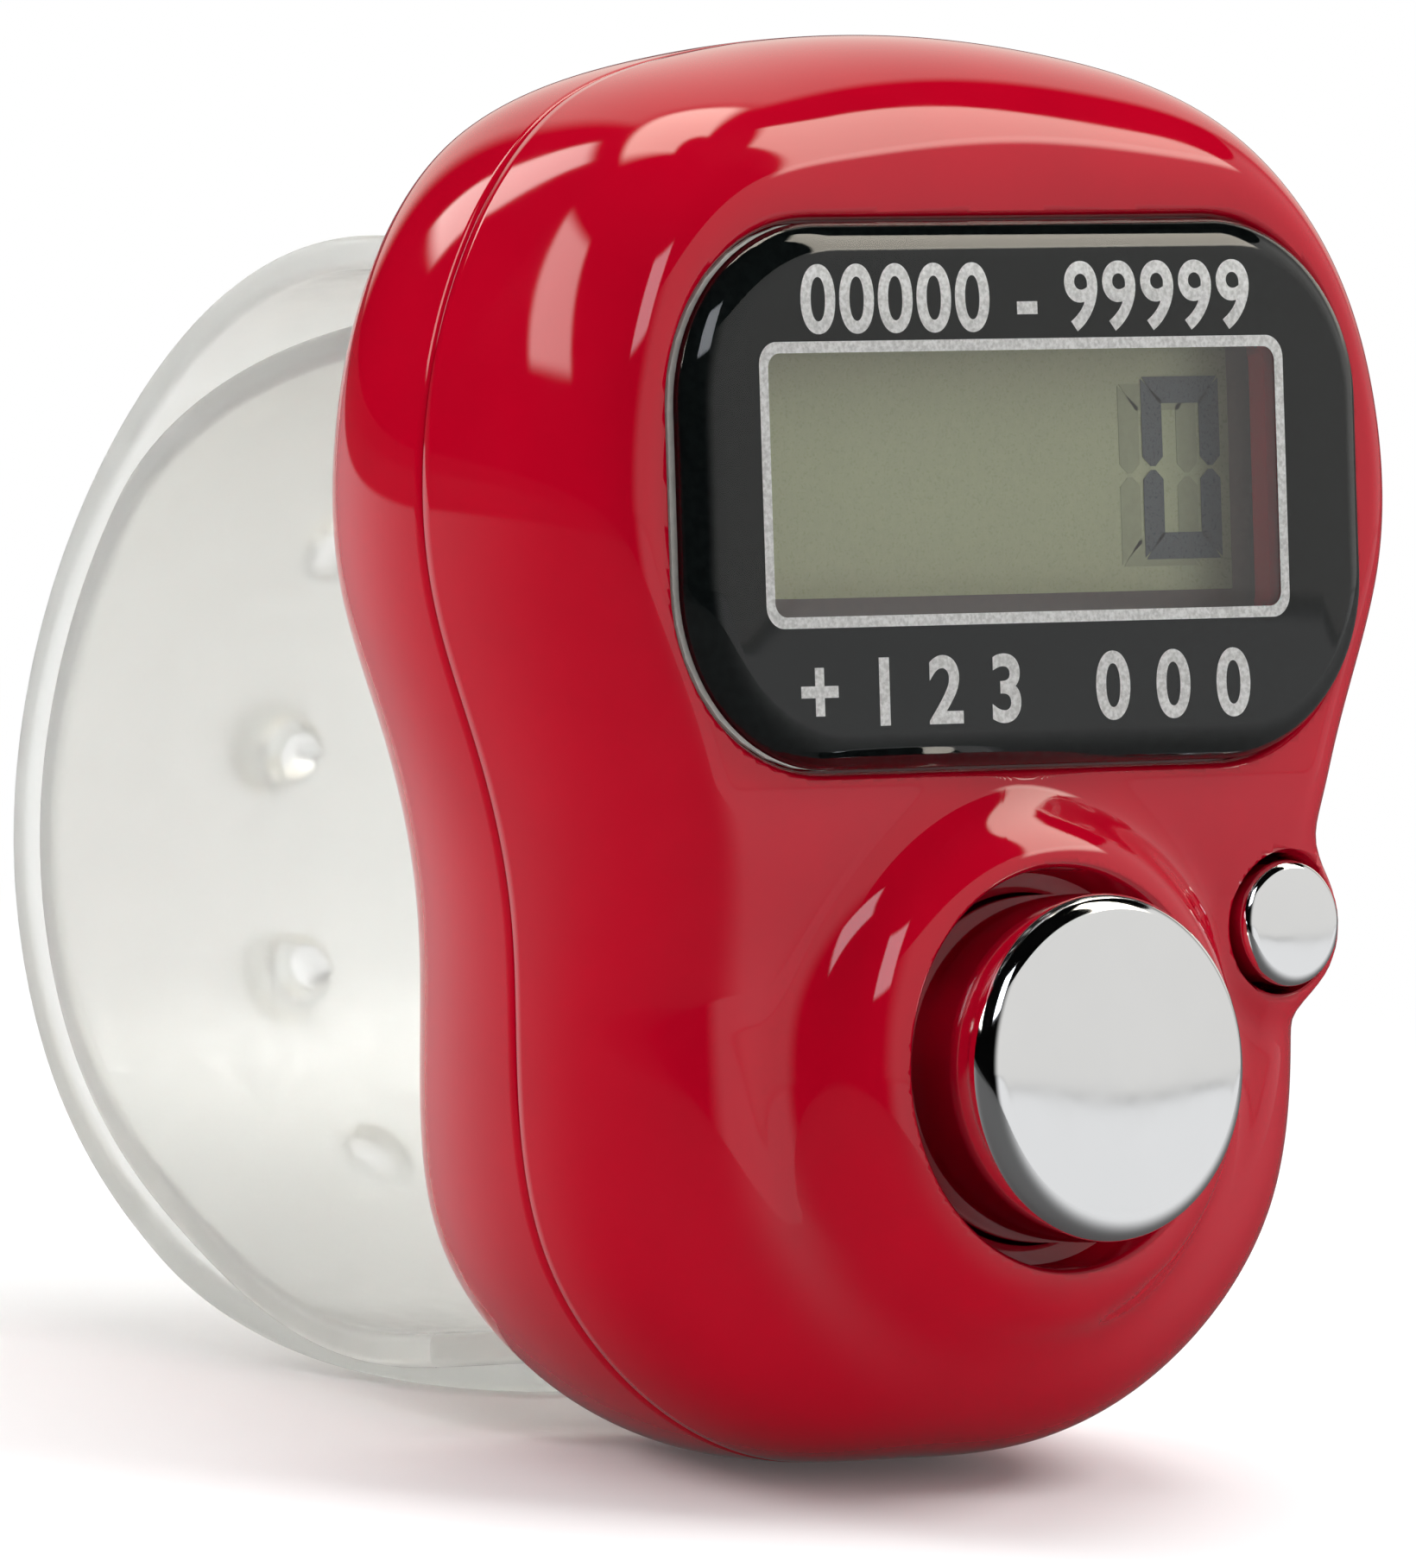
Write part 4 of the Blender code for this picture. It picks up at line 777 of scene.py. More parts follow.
def run_tree(made, tree, **values):
    """Run a tree on an object, with its inputs set by their names, and keep the result."""
    step = made.modifiers.new(tree.name, "NODES")
    step.node_group = tree
    sockets = {
        item.name: item.identifier
        for item in tree.interface.items_tree
        if item.item_type == "SOCKET" and item.in_out == "INPUT"
    }
    for name, value in values.items():
        step[sockets[name.replace("_", " ")]] = value
    bake(made)
    tidy(made.data, 2e-7)


def turned_piece(name, profile, middle, steps, look, trees):
    mesh = bpy.data.meshes.new(name)
    edges = [(i, i + 1) for i in range(len(profile) - 1)]
    mesh.from_pydata([(radius, depth, 0.0) for radius, depth in profile], edges, [])
    made = new_object(name, mesh)
    run_tree(
        made, trees["turning"], Profile_Points=len(profile), Steps=steps,
        Middle=(middle[0], 0.0, middle[1]), Material=look,
    )
    smooth(made.data, 40)
    return made


def corner(radius, depth, size, steps):
    """Points of a rounded outer edge at a radius and a front depth."""
    return [
        (radius - size + size * math.sin(t), depth + size - size * math.cos(t))
        for t in np.linspace(0, math.pi / 2, steps)
    ]


def make_count_button(steps, chrome, trees):
    front, end = (point.y for point in COUNT_BOX)
    crown = 0.00016
    radius = 0.0046
    edge = 0.00065
    flange = 0.00095 + ZERO
    foot = flange + 0.0006
    ceiling = front + 0.0009
    crowned = [
        (share * (radius - edge), front + crown * (0.6 * share**2 + 0.4 * share**4))
        for share in np.linspace(0.125, 0.96, 8)
    ]
    profile = [
        (0.0, front), *crowned, *corner(radius, front + crown, edge, 12),
        (radius, flange - 0.0001), (radius + 0.0001, flange), (0.0053, flange),
        (0.0053, foot), (0.0037, foot), (0.0037, ceiling),
        (0.0012, ceiling), (0.0012, end), (0.0, end),
    ]
    made = turned_piece("count_cap", profile, COUNT_AT, steps, chrome, trees)
    finish_piece(made, "count_button", ["count_button"], chrome)


def make_reset_button(chrome, trees):
    front, end = (point.y for point in RESET_BOX)
    radius = 0.0017
    back = 0.0026 + ZERO
    profile = [
        (0.0, front), (radius * 0.5, front + 0.00002),
        *corner(radius, front + 0.00004, 0.00035, 10), (radius, back), (0.0, back),
    ]
    made = turned_piece("reset_cap", profile, RESET_AT, 96, chrome, trees)
    lap = 0.0002
    middle = (RESET_BOX[0].x + 0.0015, (back - lap + end) / 2, RESET_AT[1])
    foot = block("reset_foot", middle, (0.0030, end - back + lap, 0.0024))
    smooth(boolean(made, foot, "UNION").data, 40)
    finish_piece(made, "reset_button", ["reset_button"], chrome)


def make_lens(looks):
    """The clear lens, and behind it the black border, the frame line and the plain marks."""
    front, back = (point.y for point in LENS_BOX)
    deep = 0.0008
    wide = 0.00095
    layers = [(*lens_outline(0.00005), back), (*lens_outline(0.0), back - 0.00005)]
    for turn in np.linspace(0, math.pi / 2, 16):
        inset = wide * (1 - math.cos(turn) ** 1.3)
        layers.append((*lens_outline(inset), front + deep * (1 - math.sin(turn) ** 1.3)))
    lens = plate("clear_lens", layers, 24)
    smooth(lens.data)
    finish_piece(lens, "housing", ["display_window"], looks["clear_acrylic"])

    inner = (0.0177, 0.0070, 0.0004, WINDOW_HEIGHT)
    trim = lens_outline(0.00006)
    rim = lens_outline(0.00002)
    border = framed_plate("border_print", [
        (*inner, 0.00015), (*trim, 0.00015), (*trim, 0.00001), (*rim, 0.00001),
        (*rim, 0.00016), (*inner, 0.00016),
    ])
    finish_piece(border, "housing", [], looks["black_print"])

    inner = (0.0176, 0.0069, 0.0004, WINDOW_HEIGHT)
    outer = (0.0182, 0.0075, 0.0006, WINDOW_HEIGHT)
    line = framed_plate("frame_line", [
        (*inner, 0.000135), (*outer, 0.000135), (*outer, 0.000145), (*inner, 0.000145)
    ])
    finish_piece(line, "housing", [], looks["silver_print"])

    low = 0.02035
    places = (("00000 - 99999", 0.0002, 0.03065), ("+ 1 2 3", -0.0042, low), ("0 0 0", 0.0049, low))
    words = [mark(*place) for place in places]
    bpy.ops.object.select_all(action="DESELECT")
    for word in words:
        word.select_set(True)
    bpy.context.view_layer.objects.active = words[0]
    bpy.ops.object.join()
    words[0].name = "plain_marks"
    finish_piece(words[0], "housing", [], looks["silver_print"])


def mark(text, x, z):
    """Printed characters as a thin mesh behind the lens, centred at x and z."""
    tall = 0.0017
    curve = bpy.data.curves.new("mark", "FONT")
    curve.body = text
    curve.align_x = "CENTER"
    curve.align_y = "CENTER"
    curve.size = tall * 1.45
    curve.offset = tall * 0.032
    curve.extrude = 0.000003
    curve.space_character = 1.08
    made = new_object("mark", curve)
    mesh = evaluated_mesh(made)
    bpy.data.objects.remove(made, do_unlink=True)
    turn = Matrix.Rotation(math.pi / 2, 4, "X")
    mesh.transform(Matrix.Translation((x, 0.00014 + ZERO, z)) @ turn)
    return new_object("mark", tidy(mesh))


def segment_shape(outline):
    """A thin flat piece of the display's digit, from its outline in X and Z."""
    return ring_solid("segment", [[(x, y, z) for x, z in outline] for y in (0.0, 0.000008)])


def digit_shapes(width, height):
    """The two forms of a digit's segments, each with its places, turns and mirroring."""
    thick = 0.0007
    gap = 0.00005
    mitre = thick * 0.8
    tip = thick * 0.35
    half = height / 4 - gap
    stroke = segment_shape([
        (-thick / 2, half), (thick / 2, half - mitre), (thick / 2, -half + tip),
        (tip / 3, -half), (-tip / 3, -half), (-thick / 2, -half + tip),
    ])
    half = width / 2 - gap
    bar = segment_shape([
        (-thick / 2, -half), (thick / 2, -half + mitre), (thick / 2, half - mitre),
        (-thick / 2, half),
    ])
    across = (width - thick) / 2
    up = (height - thick) / 2
    strokes = [
        (side * across, rise * height / 4, 0, (-side, 1.0, rise))
        for side in (-1, 1) for rise in (-1, 1)
    ]
    bars = [(0, up, 1, (1.0, 1.0, 1.0)), (0, -up, 3, (1.0, 1.0, 1.0))]
    return ("strokes", stroke, strokes), ("bars", bar, bars)


def set_places(name, places, middle, front):
    """Points for the segments, with each one's angle about Y and its mirroring."""
    mesh = bpy.data.meshes.new(name)
    mesh.from_pydata([(middle[0] + x, front, middle[1] + z) for x, z, *_ in places], [], [])
    turn = mesh.attributes.new("angle", "FLOAT_VECTOR", "POINT")
    flip = mesh.attributes.new("flip", "FLOAT_VECTOR", "POINT")
    for i, (_, _, quarters, flipped) in enumerate(places):
        turn.data[i].vector = (0.0, quarters * math.pi / 2, 0.0)
        flip.data[i].vector = flipped
    return new_object(name, mesh)


def make_display(looks, trees):
    """The display's own panel, the segments of one digit with their painted shadow, and dark strips
    along the display's lower and right edges.
    """
    panel = frame["nodes"]["lcd_panel"].data.materials
    panel.clear()
    panel.append(looks["display_reflector"])
    shapes = digit_shapes(0.0027, 0.0048)
    middle = (0.00684, 0.0262)
    shifted = (middle[0] - 0.0008, middle[1] - 0.00018)
    # digit_shadow is a painted shadow: a darker copy of the segments laid on the display's panel,
    # shifted left and down
    for name, look, at, depth in (
        ("digit_shadow", looks["segment_shadow"], shifted, -0.000014),
        ("digit", looks["dark_segment"], middle, -0.00003),
    ):
        for part, shape, places in shapes:
            made = set_places(f"{name}_{part}", places, at, GLASS_BOX[0].y + depth)
            run_tree(made, trees["segments"], Segment=shape, Material=look)
            finish_piece(made, "housing", [], look)
    for _, shape, _ in shapes:
        bpy.data.objects.remove(shape, do_unlink=True)
    # Dark strips along the display's lower and right edges, just in front of its panel
    front = GLASS_BOX[0].y - 0.000016
    for name, (left, low), (right, high) in (
        ("display_seal_below", (-0.0094, 0.0221), (0.0094, 0.02298)),
        ("display_seal_right", (0.00852, 0.02298), (0.0094, 0.0297)),
    ):
        layer = (right - left, high - low, 0.00001, (low + high) / 2)
        seal = plate(name, [(*layer, front), (*layer, front + 0.000012)], 2)
        seal.data.transform(Matrix.Translation(((left + right) / 2, 0.0, 0.0)))
        finish_piece(seal, "housing", [], looks["display_seal"])


def strap_path(sizes):
    """The line where the halves meet, as a curve object, and its length."""
    back = sizes.back - sizes.thickness - sizes.gap
    top = sizes.top - sizes.thickness - sizes.gap
    keys = [
        (BACK + (back - BACK) * y, sizes.bottom + (top - sizes.bottom) * z)
        for y, z in STRAP_LINE
    ]
    points = spline(keys, 385, closed=False)
    outside = points[:, 0] > BACK
    stretch = (back - BACK) / (points[outside, 0].max() - BACK)
    points[outside, 0] = BACK + (points[outside, 0] - BACK) * stretch
    curve = bpy.data.curves.new("strap_path", "CURVE")
    curve.dimensions = "3D"
    line = curve.splines.new("POLY")
    line.points.add(len(points) - 1)
    for item, (depth, height) in zip(line.points, points):
        item.co = (0.0, depth + ZERO, height, 1.0)
    whole = np.linalg.norm(np.diff(points, axis=0), axis=1).sum()
    return new_object("strap_path", curve), whole


def flat_strip(name, sizes, root, end, middle):
    """A flat strap half along Y, with a narrow tab at its root and a round tip."""
    sign = 1 if end > root else -1
    run = abs(end - root)
    full = sizes.width / 2
    tab = sizes.tab / 2
    # The tab's root is inside the body by 0.17 of the line's reach behind it, 17.35 mm
    shoulder = 0.0003 + 0.17 * 0.01735
    soft = 0.0007
    quarter = math.pi / 2
    side = [(tab, 0.0), (tab, shoulder)]
    side += [
        (tab + (full - tab) * math.sin(t) ** 1.4, shoulder + soft * (1 - math.cos(t)))
        for t in np.linspace(0.1, 1, 8) * quarter
    ]
    side += [(full, y) for y in np.linspace(shoulder + soft + 0.0005, run - full, 60)]
    side += [
        (full * math.cos(t), run - full + full * math.sin(t))
        for t in np.linspace(0, quarter, 40)[1:]
    ]
    outline = side + [(-x, y) for x, y in side[-2::-1]]
    outline = np.array([(x, root + sign * y) for x, y in outline])
    inward = inward_of(outline) * sign
    half = sizes.thickness / 2
    edge = sizes.rounding
    levels = [(edge * 2.2, -half), (edge, -half)]
    levels += [
        (edge * (1 - math.sin(t)), -half + edge * (1 - math.cos(t)))
        for t in np.linspace(0, quarter, 6)[1:]
    ]
    levels += [(inset, -rise) for inset, rise in levels[::-1]]
    made = ring_solid(name, [
        [(x, y, middle + rise) for x, y in outline + inward * inset] for inset, rise in levels
    ])
    shape = bmesh.new()
    shape.from_mesh(made.data)
    for place in np.arange(min(root, end) + 0.0003, max(root, end), 0.0004):
        bmesh.ops.bisect_plane(
            shape, geom=shape.verts[:] + shape.edges[:] + shape.faces[:],
            plane_co=(0, place, 0), plane_no=(0, 1, 0),
        )
    shape.to_mesh(made.data)
    shape.free()
    return made


def make_strap(settings, look, trees):
    """Both halves, made flat with their holes, pegs and beads, and then bent on the path."""
    sizes = settings.strap
    path, whole = strap_path(sizes)
    thick = sizes.thickness
    lift = sizes.gap + thick / 2
    sink = -thick / 2
    upper = flat_strip("strap_outer_half", sizes, 0.0, whole * sizes.upper_end, lift)
    lower = flat_strip("strap_inner_half", sizes, whole, whole * sizes.lower_end, sink)
    top = sizes.gap + thick
    under = thick + 2 * sizes.gap
    hole = [
        (sizes.hole + 0.00012, sizes.gap - 0.0002), (sizes.hole, sizes.gap + 0.00012),
        (sizes.hole, top - 0.00012), (sizes.hole + 0.00024, top + 0.0001),
    ]
    peg = [
        (0.00065, sink), (0.00065, under - 0.00005), (0.0011, under),
        (0.0012, under + 0.0001), (0.0012, under + 0.0004), (0.00105, under + 0.0006),
        (0.0007, under + 0.0007),
    ]
    for number_along in range(4):
        place = (0.0, whole * sizes.first_hole + sizes.hole_pitch * number_along)
        boolean(upper, turned("hole", hole, place, 48, upright=True))
        if number_along in (1, 2):
            boolean(lower, turned("peg", peg, place, 48, upright=True), "UNION")
    for half, root, rise in ((upper, 0.00065, lift), (lower, whole - 0.00065, sink)):
        bead = block("bead", (0.0, root, rise), (sizes.tab, 0.0012, 0.0026))
        boolean(half, bead, "UNION")
    for half, packed in ((upper, "strap_upper"), (lower, "strap_lower")):
        run_tree(half, trees["path"], Path=path, Material=look)
        smooth(half.data, 30)
        finish_piece(half, "housing", [packed], look)
    bpy.data.objects.remove(path, do_unlink=True)


# Finishes with a fine pattern: the material's name, its colour or the setting that gives it,
# the pattern's scale and contrast, the roughness from and to, the strength and depth of the
# bumps, and for a metal how its pattern is stretched
PATTERNS = (
    ("crimson_moulding", "crimson", 260.0, 0.03, (0.03, 0.07), (0.02, 0.00002)),
    ("chrome_plate", "chrome", 300.0, 0.01, (0.05, 0.09), (0.015, 0.00002), (1, 1, 1)),
    ("black_print", "border", 4000.0, 0.2, (0.4, 0.6), None),
    ("silver_print", "silver", 9000.0, 0.18, (0.35, 0.55), (0.1, 0.00001)),
    ("display_reflector", "display", 6000.0, 0.03, (0.25, 0.35), None),
    ("dark_segment", "segment", 5000.0, 0.1, (0.25, 0.35), None),
    ("display_seal", "seal", 5000.0, 0.12, (0.3, 0.45), None),
    ("segment_shadow", "display", 5000.0, 0.04, (0.3, 0.4), None),
    ("milky_soft_plastic", "strap", 500.0, 0.008, (0.34, 0.46), (0.05, 0.00002)),
    ("green_board", (0.012, 0.12, 0.045), 1800.0, 0.3, (0.25, 0.4), (0.2, 0.00002)),
    ("bright_steel", (0.60, 0.60, 0.61), 900.0, 0.06, (0.2, 0.35), (0.06, 0.00001), (6, 1, 1)),
    ("plain_brass", (0.68, 0.50, 0.20), 700.0, 0.06, (0.22, 0.38), (0.06, 0.00001), (1, 4, 1)),
    ("black_resin", (0.02, 0.02, 0.021), 700.0, 0.3, (0.25, 0.5), (0.2, 0.00003)),
    ("black_rubber", (0.035, 0.035, 0.036), 2400.0, 0.25, (0.6, 0.8), (0.3, 0.00002)),
    ("grey_foam", (0.12, 0.12, 0.13), 3200.0, 0.5, (0.8, 0.95), (0.8, 0.00008)),
    ("white_tape", (0.74, 0.73, 0.68), 2600.0, 0.08, (0.6, 0.8), (0.3, 0.00001)),
    ("tan_ceramic", (0.45, 0.30, 0.17), 2600.0, 0.12, (0.4, 0.55), (0.1, 0.00001)),
)

# The works inside, each with its finish
WORKS = {
    "window_adhesive": "white_tape",
    "zebra_connector": "layered_rubber",
    "lcd_foam_pad": "grey_foam",
    "circuit_board": "green_board",
    "controller_chip": "black_resin",
    "board_capacitor": "tan_ceramic",
    "button_cell": "bright_steel",
    "cell_positive_contact": "bright_steel",
    "cell_negative_contact": "bright_steel",
    "count_switch_base": "black_resin",
    "count_switch_plunger": "plain_brass",
    "reset_switch_base": "black_resin",
    "reset_switch_plunger": "plain_brass",
    "board_screw_1": "bright_steel",
    "board_screw_2": "bright_steel",
    "board_screw_3": "bright_steel",
    "case_screw_1": "bright_steel",
    "case_screw_2": "bright_steel",
}


def shader(name, values):
    """A new material, its node tree and its main shader, which is given some values."""
    made = bpy.data.materials.new(name)
    made.use_nodes = True
    main = made.node_tree.nodes["Principled BSDF"]
    set_values(main, values)
    return made, made.node_tree, main


def set_values(main, values):
    for name, value in values.items():
        main.inputs[name].default_value = value


def object_place(tree, scale=(1, 1, 1)):
    place = node(tree, "ShaderNodeTexCoord").outputs["Object"]
    return node(tree, "ShaderNodeMapping", {"Scale": scale, "Vector": place}).outputs[0]


def noise(tree, place, scale):
    values = {"Scale": scale, "Detail": 3.0, "Vector": place}
    return node(tree, "ShaderNodeTexNoise", values).outputs["Fac"]


def two_tones(tree, value, low, high):
    """One colour below the first place and the other above the second: (place, colour)."""
    made = node(tree, "ShaderNodeValToRGB", {"Fac": value})
    for item, (place, tone) in zip(made.color_ramp.elements, (low, high)):
        item.position = place
        item.color = (*tone, 1.0)
    return made.outputs["Color"]


def vary_roughness(tree, main, pattern, low, high):
    made = node(tree, "ShaderNodeMapRange", {
        "From Min": 0.3, "From Max": 0.7, "To Min": low, "To Max": high, "Value": pattern
    })
    tree.links.new(made.outputs[0], main.inputs["Roughness"])


def shades(tone, factor):
    return tuple(min(part * factor, 1.0) for part in tone)


def patterned(name, tone, scale, contrast, rough, bumps, stretch=None):
    """A finish whose colour, roughness and height vary with a fine noise."""
    made, tree, main = shader(name, {"Metallic": 1.0 if stretch else 0.0})
    place = object_place(tree, stretch or (1, 1, 1))
    low = (0.35, shades(tone, 1 - contrast))
    high = (0.65, shades(tone, 1 + contrast))
    tones = two_tones(tree, noise(tree, place, scale), low, high)
    tree.links.new(tones, main.inputs["Base Color"])
    vary_roughness(tree, main, noise(tree, place, scale * 2.3), *rough)
    if bumps:
        height = noise(tree, place, scale * 3.1)
        values = {"Strength": bumps[0], "Distance": bumps[1], "Height": height}
        tree.links.new(node(tree, "ShaderNodeBump", values).outputs[0], main.inputs["Normal"])
    return made


def painted_shade_rightwards(look, share):
    """Paint shade into the colour towards the display's right end, where less light gets in."""
    tree = look.node_tree
    base = tree.nodes["Principled BSDF"].inputs["Base Color"]
    place = node(tree, "ShaderNodeSeparateXYZ", {0: object_place(tree)}).outputs
    light = maths(tree, "MULTIPLY", eased(tree, place["X"], 0.0058, 0.0086), 1 - share)
    light = maths(tree, "ADD", light, share)
    tree.links.new(scaled(tree, base.links[0].from_socket, light), base)


def layered_rubber():
    """The strip between the display and the board: thin dark and pale layers."""
    made, tree, main = shader("layered_rubber", {"Roughness": 0.6})
    values = {"Scale": 900.0, "Vector": object_place(tree)}
    wave = node(tree, "ShaderNodeTexWave", values, bands_direction="X").outputs["Fac"]
    tones = two_tones(tree, wave, (0.45, (0.02, 0.02, 0.02)), (0.55, (0.5, 0.5, 0.48)))
    tree.links.new(tones, main.inputs["Base Color"])
    return made


def clear_acrylic():
    values = {"Base Color": (1.0, 1.0, 1.0, 1.0), "Transmission Weight": 1.0, "IOR": 1.49}
    made, tree, main = shader("clear_acrylic", values)
    vary_roughness(tree, main, noise(tree, object_place(tree), 900.0), 0.0, 0.01)
    return made


def make_looks(finishes):
    looks = {"clear_acrylic": clear_acrylic(), "layered_rubber": layered_rubber()}
    for name, tone, *pattern in PATTERNS:
        if isinstance(tone, str):
            tone = getattr(finishes, tone)
        # The digit's painted shadow takes the display's colour, darkened
        if name == "segment_shadow":
            tone = shades(tone, 0.74)
        looks[name] = patterned(name, tone, *pattern)
    for name, values in (
        ("black_print", {"Specular IOR Level": 0.0}),
        ("silver_print", {"Specular IOR Level": 0.1}),
        ("milky_soft_plastic", {
            "Transmission Weight": 0.93, "IOR": 1.3, "Subsurface Weight": 0.2,
            "Subsurface Radius": (0.004, 0.004, 0.004), "Subsurface Scale": 1.0,
        }),
    ):
        set_values(looks[name].node_tree.nodes["Principled BSDF"], values)
    # Painted shade on the right end of the display and of the digit's painted shadow
    painted_shade_rightwards(looks["display_reflector"], 0.42)
    painted_shade_rightwards(looks["segment_shadow"], 0.5)
    return looks


# Bright panels round the object, as the glossy pieces mirror them: the middle's angle left of
# straight behind the object and its height, half the width and height, the lean sideways
# with height, the softness of the sides and of the other edges as shares, the strength, and
# the warmth of the light. Angles in degrees.
PANELS = (
    (96, 35, 9, 12, -0.8, 0.15, 0.15, 4.6, 0.1),
    (53, 41, 6, 12, 0.0, 0.15, 0.15, 5.0, 0.1),
    (-1, 34, 31, 26, 0.2, 0.15, 0.15, 0.95, 0.15),
    (22, 70, 42, 9, 0.0, 0.15, 0.15, 6.0, 0.2),
    (-78, 47, 13, 17, 0.5, 0.12, 0.12, 5.5, 0.2),
    (180, 38, 12, 12, 0.0, 0.12, 0.12, 4.2, -0.1),
    (-100, 16.1, 58, 17.9, 0.0, 0.25, 0.018, 0.77, 0.04),
    (-100, -7.95, 54, 6.0, 0.0, 0.25, 0.05, 0.84, 0.0),
    (0, 3, 42, 6, 0.0, 0.2, 0.3, 0.35, 0.1),
)

# Soft lamps, which the glossy pieces mirror as the panels instead: the way ahead of the
# camera, to its left and up, the size and the power
LAMPS = {
    "top_lamp": ((0.05, -0.10, 0.45), (0.34, 0.24), 0.9),
    "right_lamp": ((0.0, -0.36, 0.34), (0.20, 0.20), 1.1),
    "left_lamp": ((0.0, 0.40, 0.28), (0.12, 0.18), 0.7),
}


def studio_axes(studio):
    """Level directions away from the camera, and to its left."""
    turn = studio.azimuth
    ahead = Vector((math.sin(turn), math.cos(turn), 0.0))
    return ahead, Vector((-ahead.y, ahead.x, 0.0))


def set_lamps(studio):
    ahead, left = studio_axes(studio)
    aim = Vector((0, 0, 0.015))
    for name, ((along, aside, rise), size, power) in LAMPS.items():
        light = bpy.data.lights.new(name, "AREA")
        light.shape = "RECTANGLE"
        light.size, light.size_y = size
        light.energy = power
        made = new_object(name, light)
        made.location = ahead * along + left * aside + Vector((0, 0, rise))
        made.rotation_euler = (aim - made.location).to_track_quat("-Z", "Y").to_euler()
        made.visible_glossy = False


def set_camera(studio):
    """The camera stands where the photograph was taken from, and looks at its middle."""
    turn, rise, roll = -studio.azimuth, studio.elevation, studio.roll
    back = Vector((
        math.sin(turn) * math.cos(rise), -math.cos(turn) * math.cos(rise), math.sin(rise)
    ))
    right = Vector((math.cos(turn), math.sin(turn), 0.0))
    up = back.cross(right)
    right_rolled = right * math.cos(roll) + up * math.sin(roll)
    up_rolled = up * math.cos(roll) - right * math.sin(roll)
    # The picture's middle lies left of the body's middle line and below it, as slopes
    leftwards = 371.1 / 26280
    downwards = 48.9 / 26280
    away = (back + right_rolled * leftwards + up_rolled * downwards).normalized()
    right_last = up_rolled.cross(away).normalized()
    camera = bpy.data.cameras.new("studio_camera")
    camera.lens = studio.focal_length
    camera.sensor_width = 36.0
    camera.clip_start = 0.05
    camera.clip_end = 20.0
    made = new_object("studio_camera", camera)
    axes = Matrix((right_last, away.cross(right_last), away)).transposed().to_4x4()
    middle = Vector((0.0, ZERO, 0.019))
    made.matrix_world = Matrix.Translation(middle + back * studio.distance) @ axes
    bpy.context.scene.camera = made


def directly_seen(tree):
    path = node(tree, "ShaderNodeLightPath").outputs
    return maths(tree, "MAXIMUM", path["Is Camera Ray"], path["Is Transmission Ray"])


def mirrored(tree):
    return node(tree, "ShaderNodeLightPath").outputs["Is Glossy Ray"]


def eased(tree, value, full, none):
    """One where the value is below full, and nought above none."""
    values = {"From Min": full, "From Max": none, "To Min": 1.0, "To Max": 0.0, "Value": value}
    return node(tree, "ShaderNodeMapRange", values, interpolation_type="SMOOTHSTEP").outputs[0]


def dot(tree, vector, other):
    return vector_maths(tree, "DOT_PRODUCT", vector, tuple(other), "Value")


def panel_glow(tree, studio):
    """Light of the studio's panels in each direction."""
    ahead, left = studio_axes(studio)
    ray = node(tree, "ShaderNodeTexCoord").outputs["Generated"]
    across = maths(tree, "ARCTAN2", dot(tree, ray, left), dot(tree, ray, ahead))
    height = maths(tree, "ARCSINE", dot(tree, ray, (0.0, 0.0, 1.0)))
    lights = []
    for middle, rise, wide, tall, lean, side_soft, soft, strength, _ in PANELS:
        above = maths(tree, "SUBTRACT", height, math.radians(rise))
        centre = maths(tree, "ADD", maths(tree, "MULTIPLY", above, lean), math.radians(middle))
        aside = maths(tree, "COSINE", maths(tree, "SUBTRACT", across, centre))
        aside = maths(tree, "DIVIDE", maths(tree, "ARCCOSINE", aside), math.radians(wide))
        above = maths(tree, "DIVIDE", maths(tree, "ABSOLUTE", above), math.radians(tall))
        sides = eased(tree, aside, 1 - side_soft, 1 + side_soft)
        inside = maths(tree, "MULTIPLY", sides, eased(tree, above, 1 - soft, 1 + soft))
        lights.append(maths(tree, "MULTIPLY", inside, strength))
    total = summed(tree, lights)
    warmth = summed(tree, [
        maths(tree, "MULTIPLY", light, panel[-1]) for light, panel in zip(lights, PANELS)
    ])
    less = maths(tree, "MULTIPLY", warmth, 0.35)
    return node(tree, "ShaderNodeCombineXYZ", {
        "X": total, "Y": maths(tree, "SUBTRACT", total, less),
        "Z": maths(tree, "SUBTRACT", total, warmth),
    }).outputs[0]


def make_world(studio):
    """Even light, with white where it is seen and the panels where it is mirrored."""
    world = bpy.data.worlds.new("studio_world")
    bpy.context.scene.world = world
    world.use_nodes = True
    tree = world.node_tree
    ray = node(tree, "ShaderNodeTexCoord").outputs["Generated"]
    aside = dot(tree, ray, studio_axes(studio)[1])
    aside = maths(tree, "MULTIPLY", aside, studio.side_light)
    light = maths(tree, "MULTIPLY", maths(tree, "ADD", aside, 1.0), studio.world_light)
    white = (1.0, 1.0, 1.0, 1.0)
    for share, seen in ((directly_seen(tree), white), (mirrored(tree), panel_glow(tree, studio))):
        values = {0: share, 6: light, 7: seen}
        light = node(tree, "ShaderNodeMix", values, data_type="RGBA").outputs[2]
    tree.links.new(light, tree.nodes["Background"].inputs["Color"])


def resting_line():
    """Slope and height of the surface that the object leans on, with its strap behind it."""
    points = []
    for made in bpy.context.scene.objects:
        if made.type == "MESH" and not made.hide_render:
            places = np.zeros(len(made.data.vertices) * 3)
            made.data.vertices.foreach_get("co", places)
            points.append(places.reshape(-1, 3)[:, 1:])
    points = np.concatenate(points)
    strap = points[:, 0] > 0.002
    low, high = 0.0, 0.5
    for _ in range(40):
        slope = (low + high) / 2
        rest = points[:, 1] - slope * points[:, 0]
        if rest[strap].min() > rest[~strap].min():
            low = slope
        else:
            high = slope
    return slope, (points[:, 1] - slope * points[:, 0]).min() - 0.00003


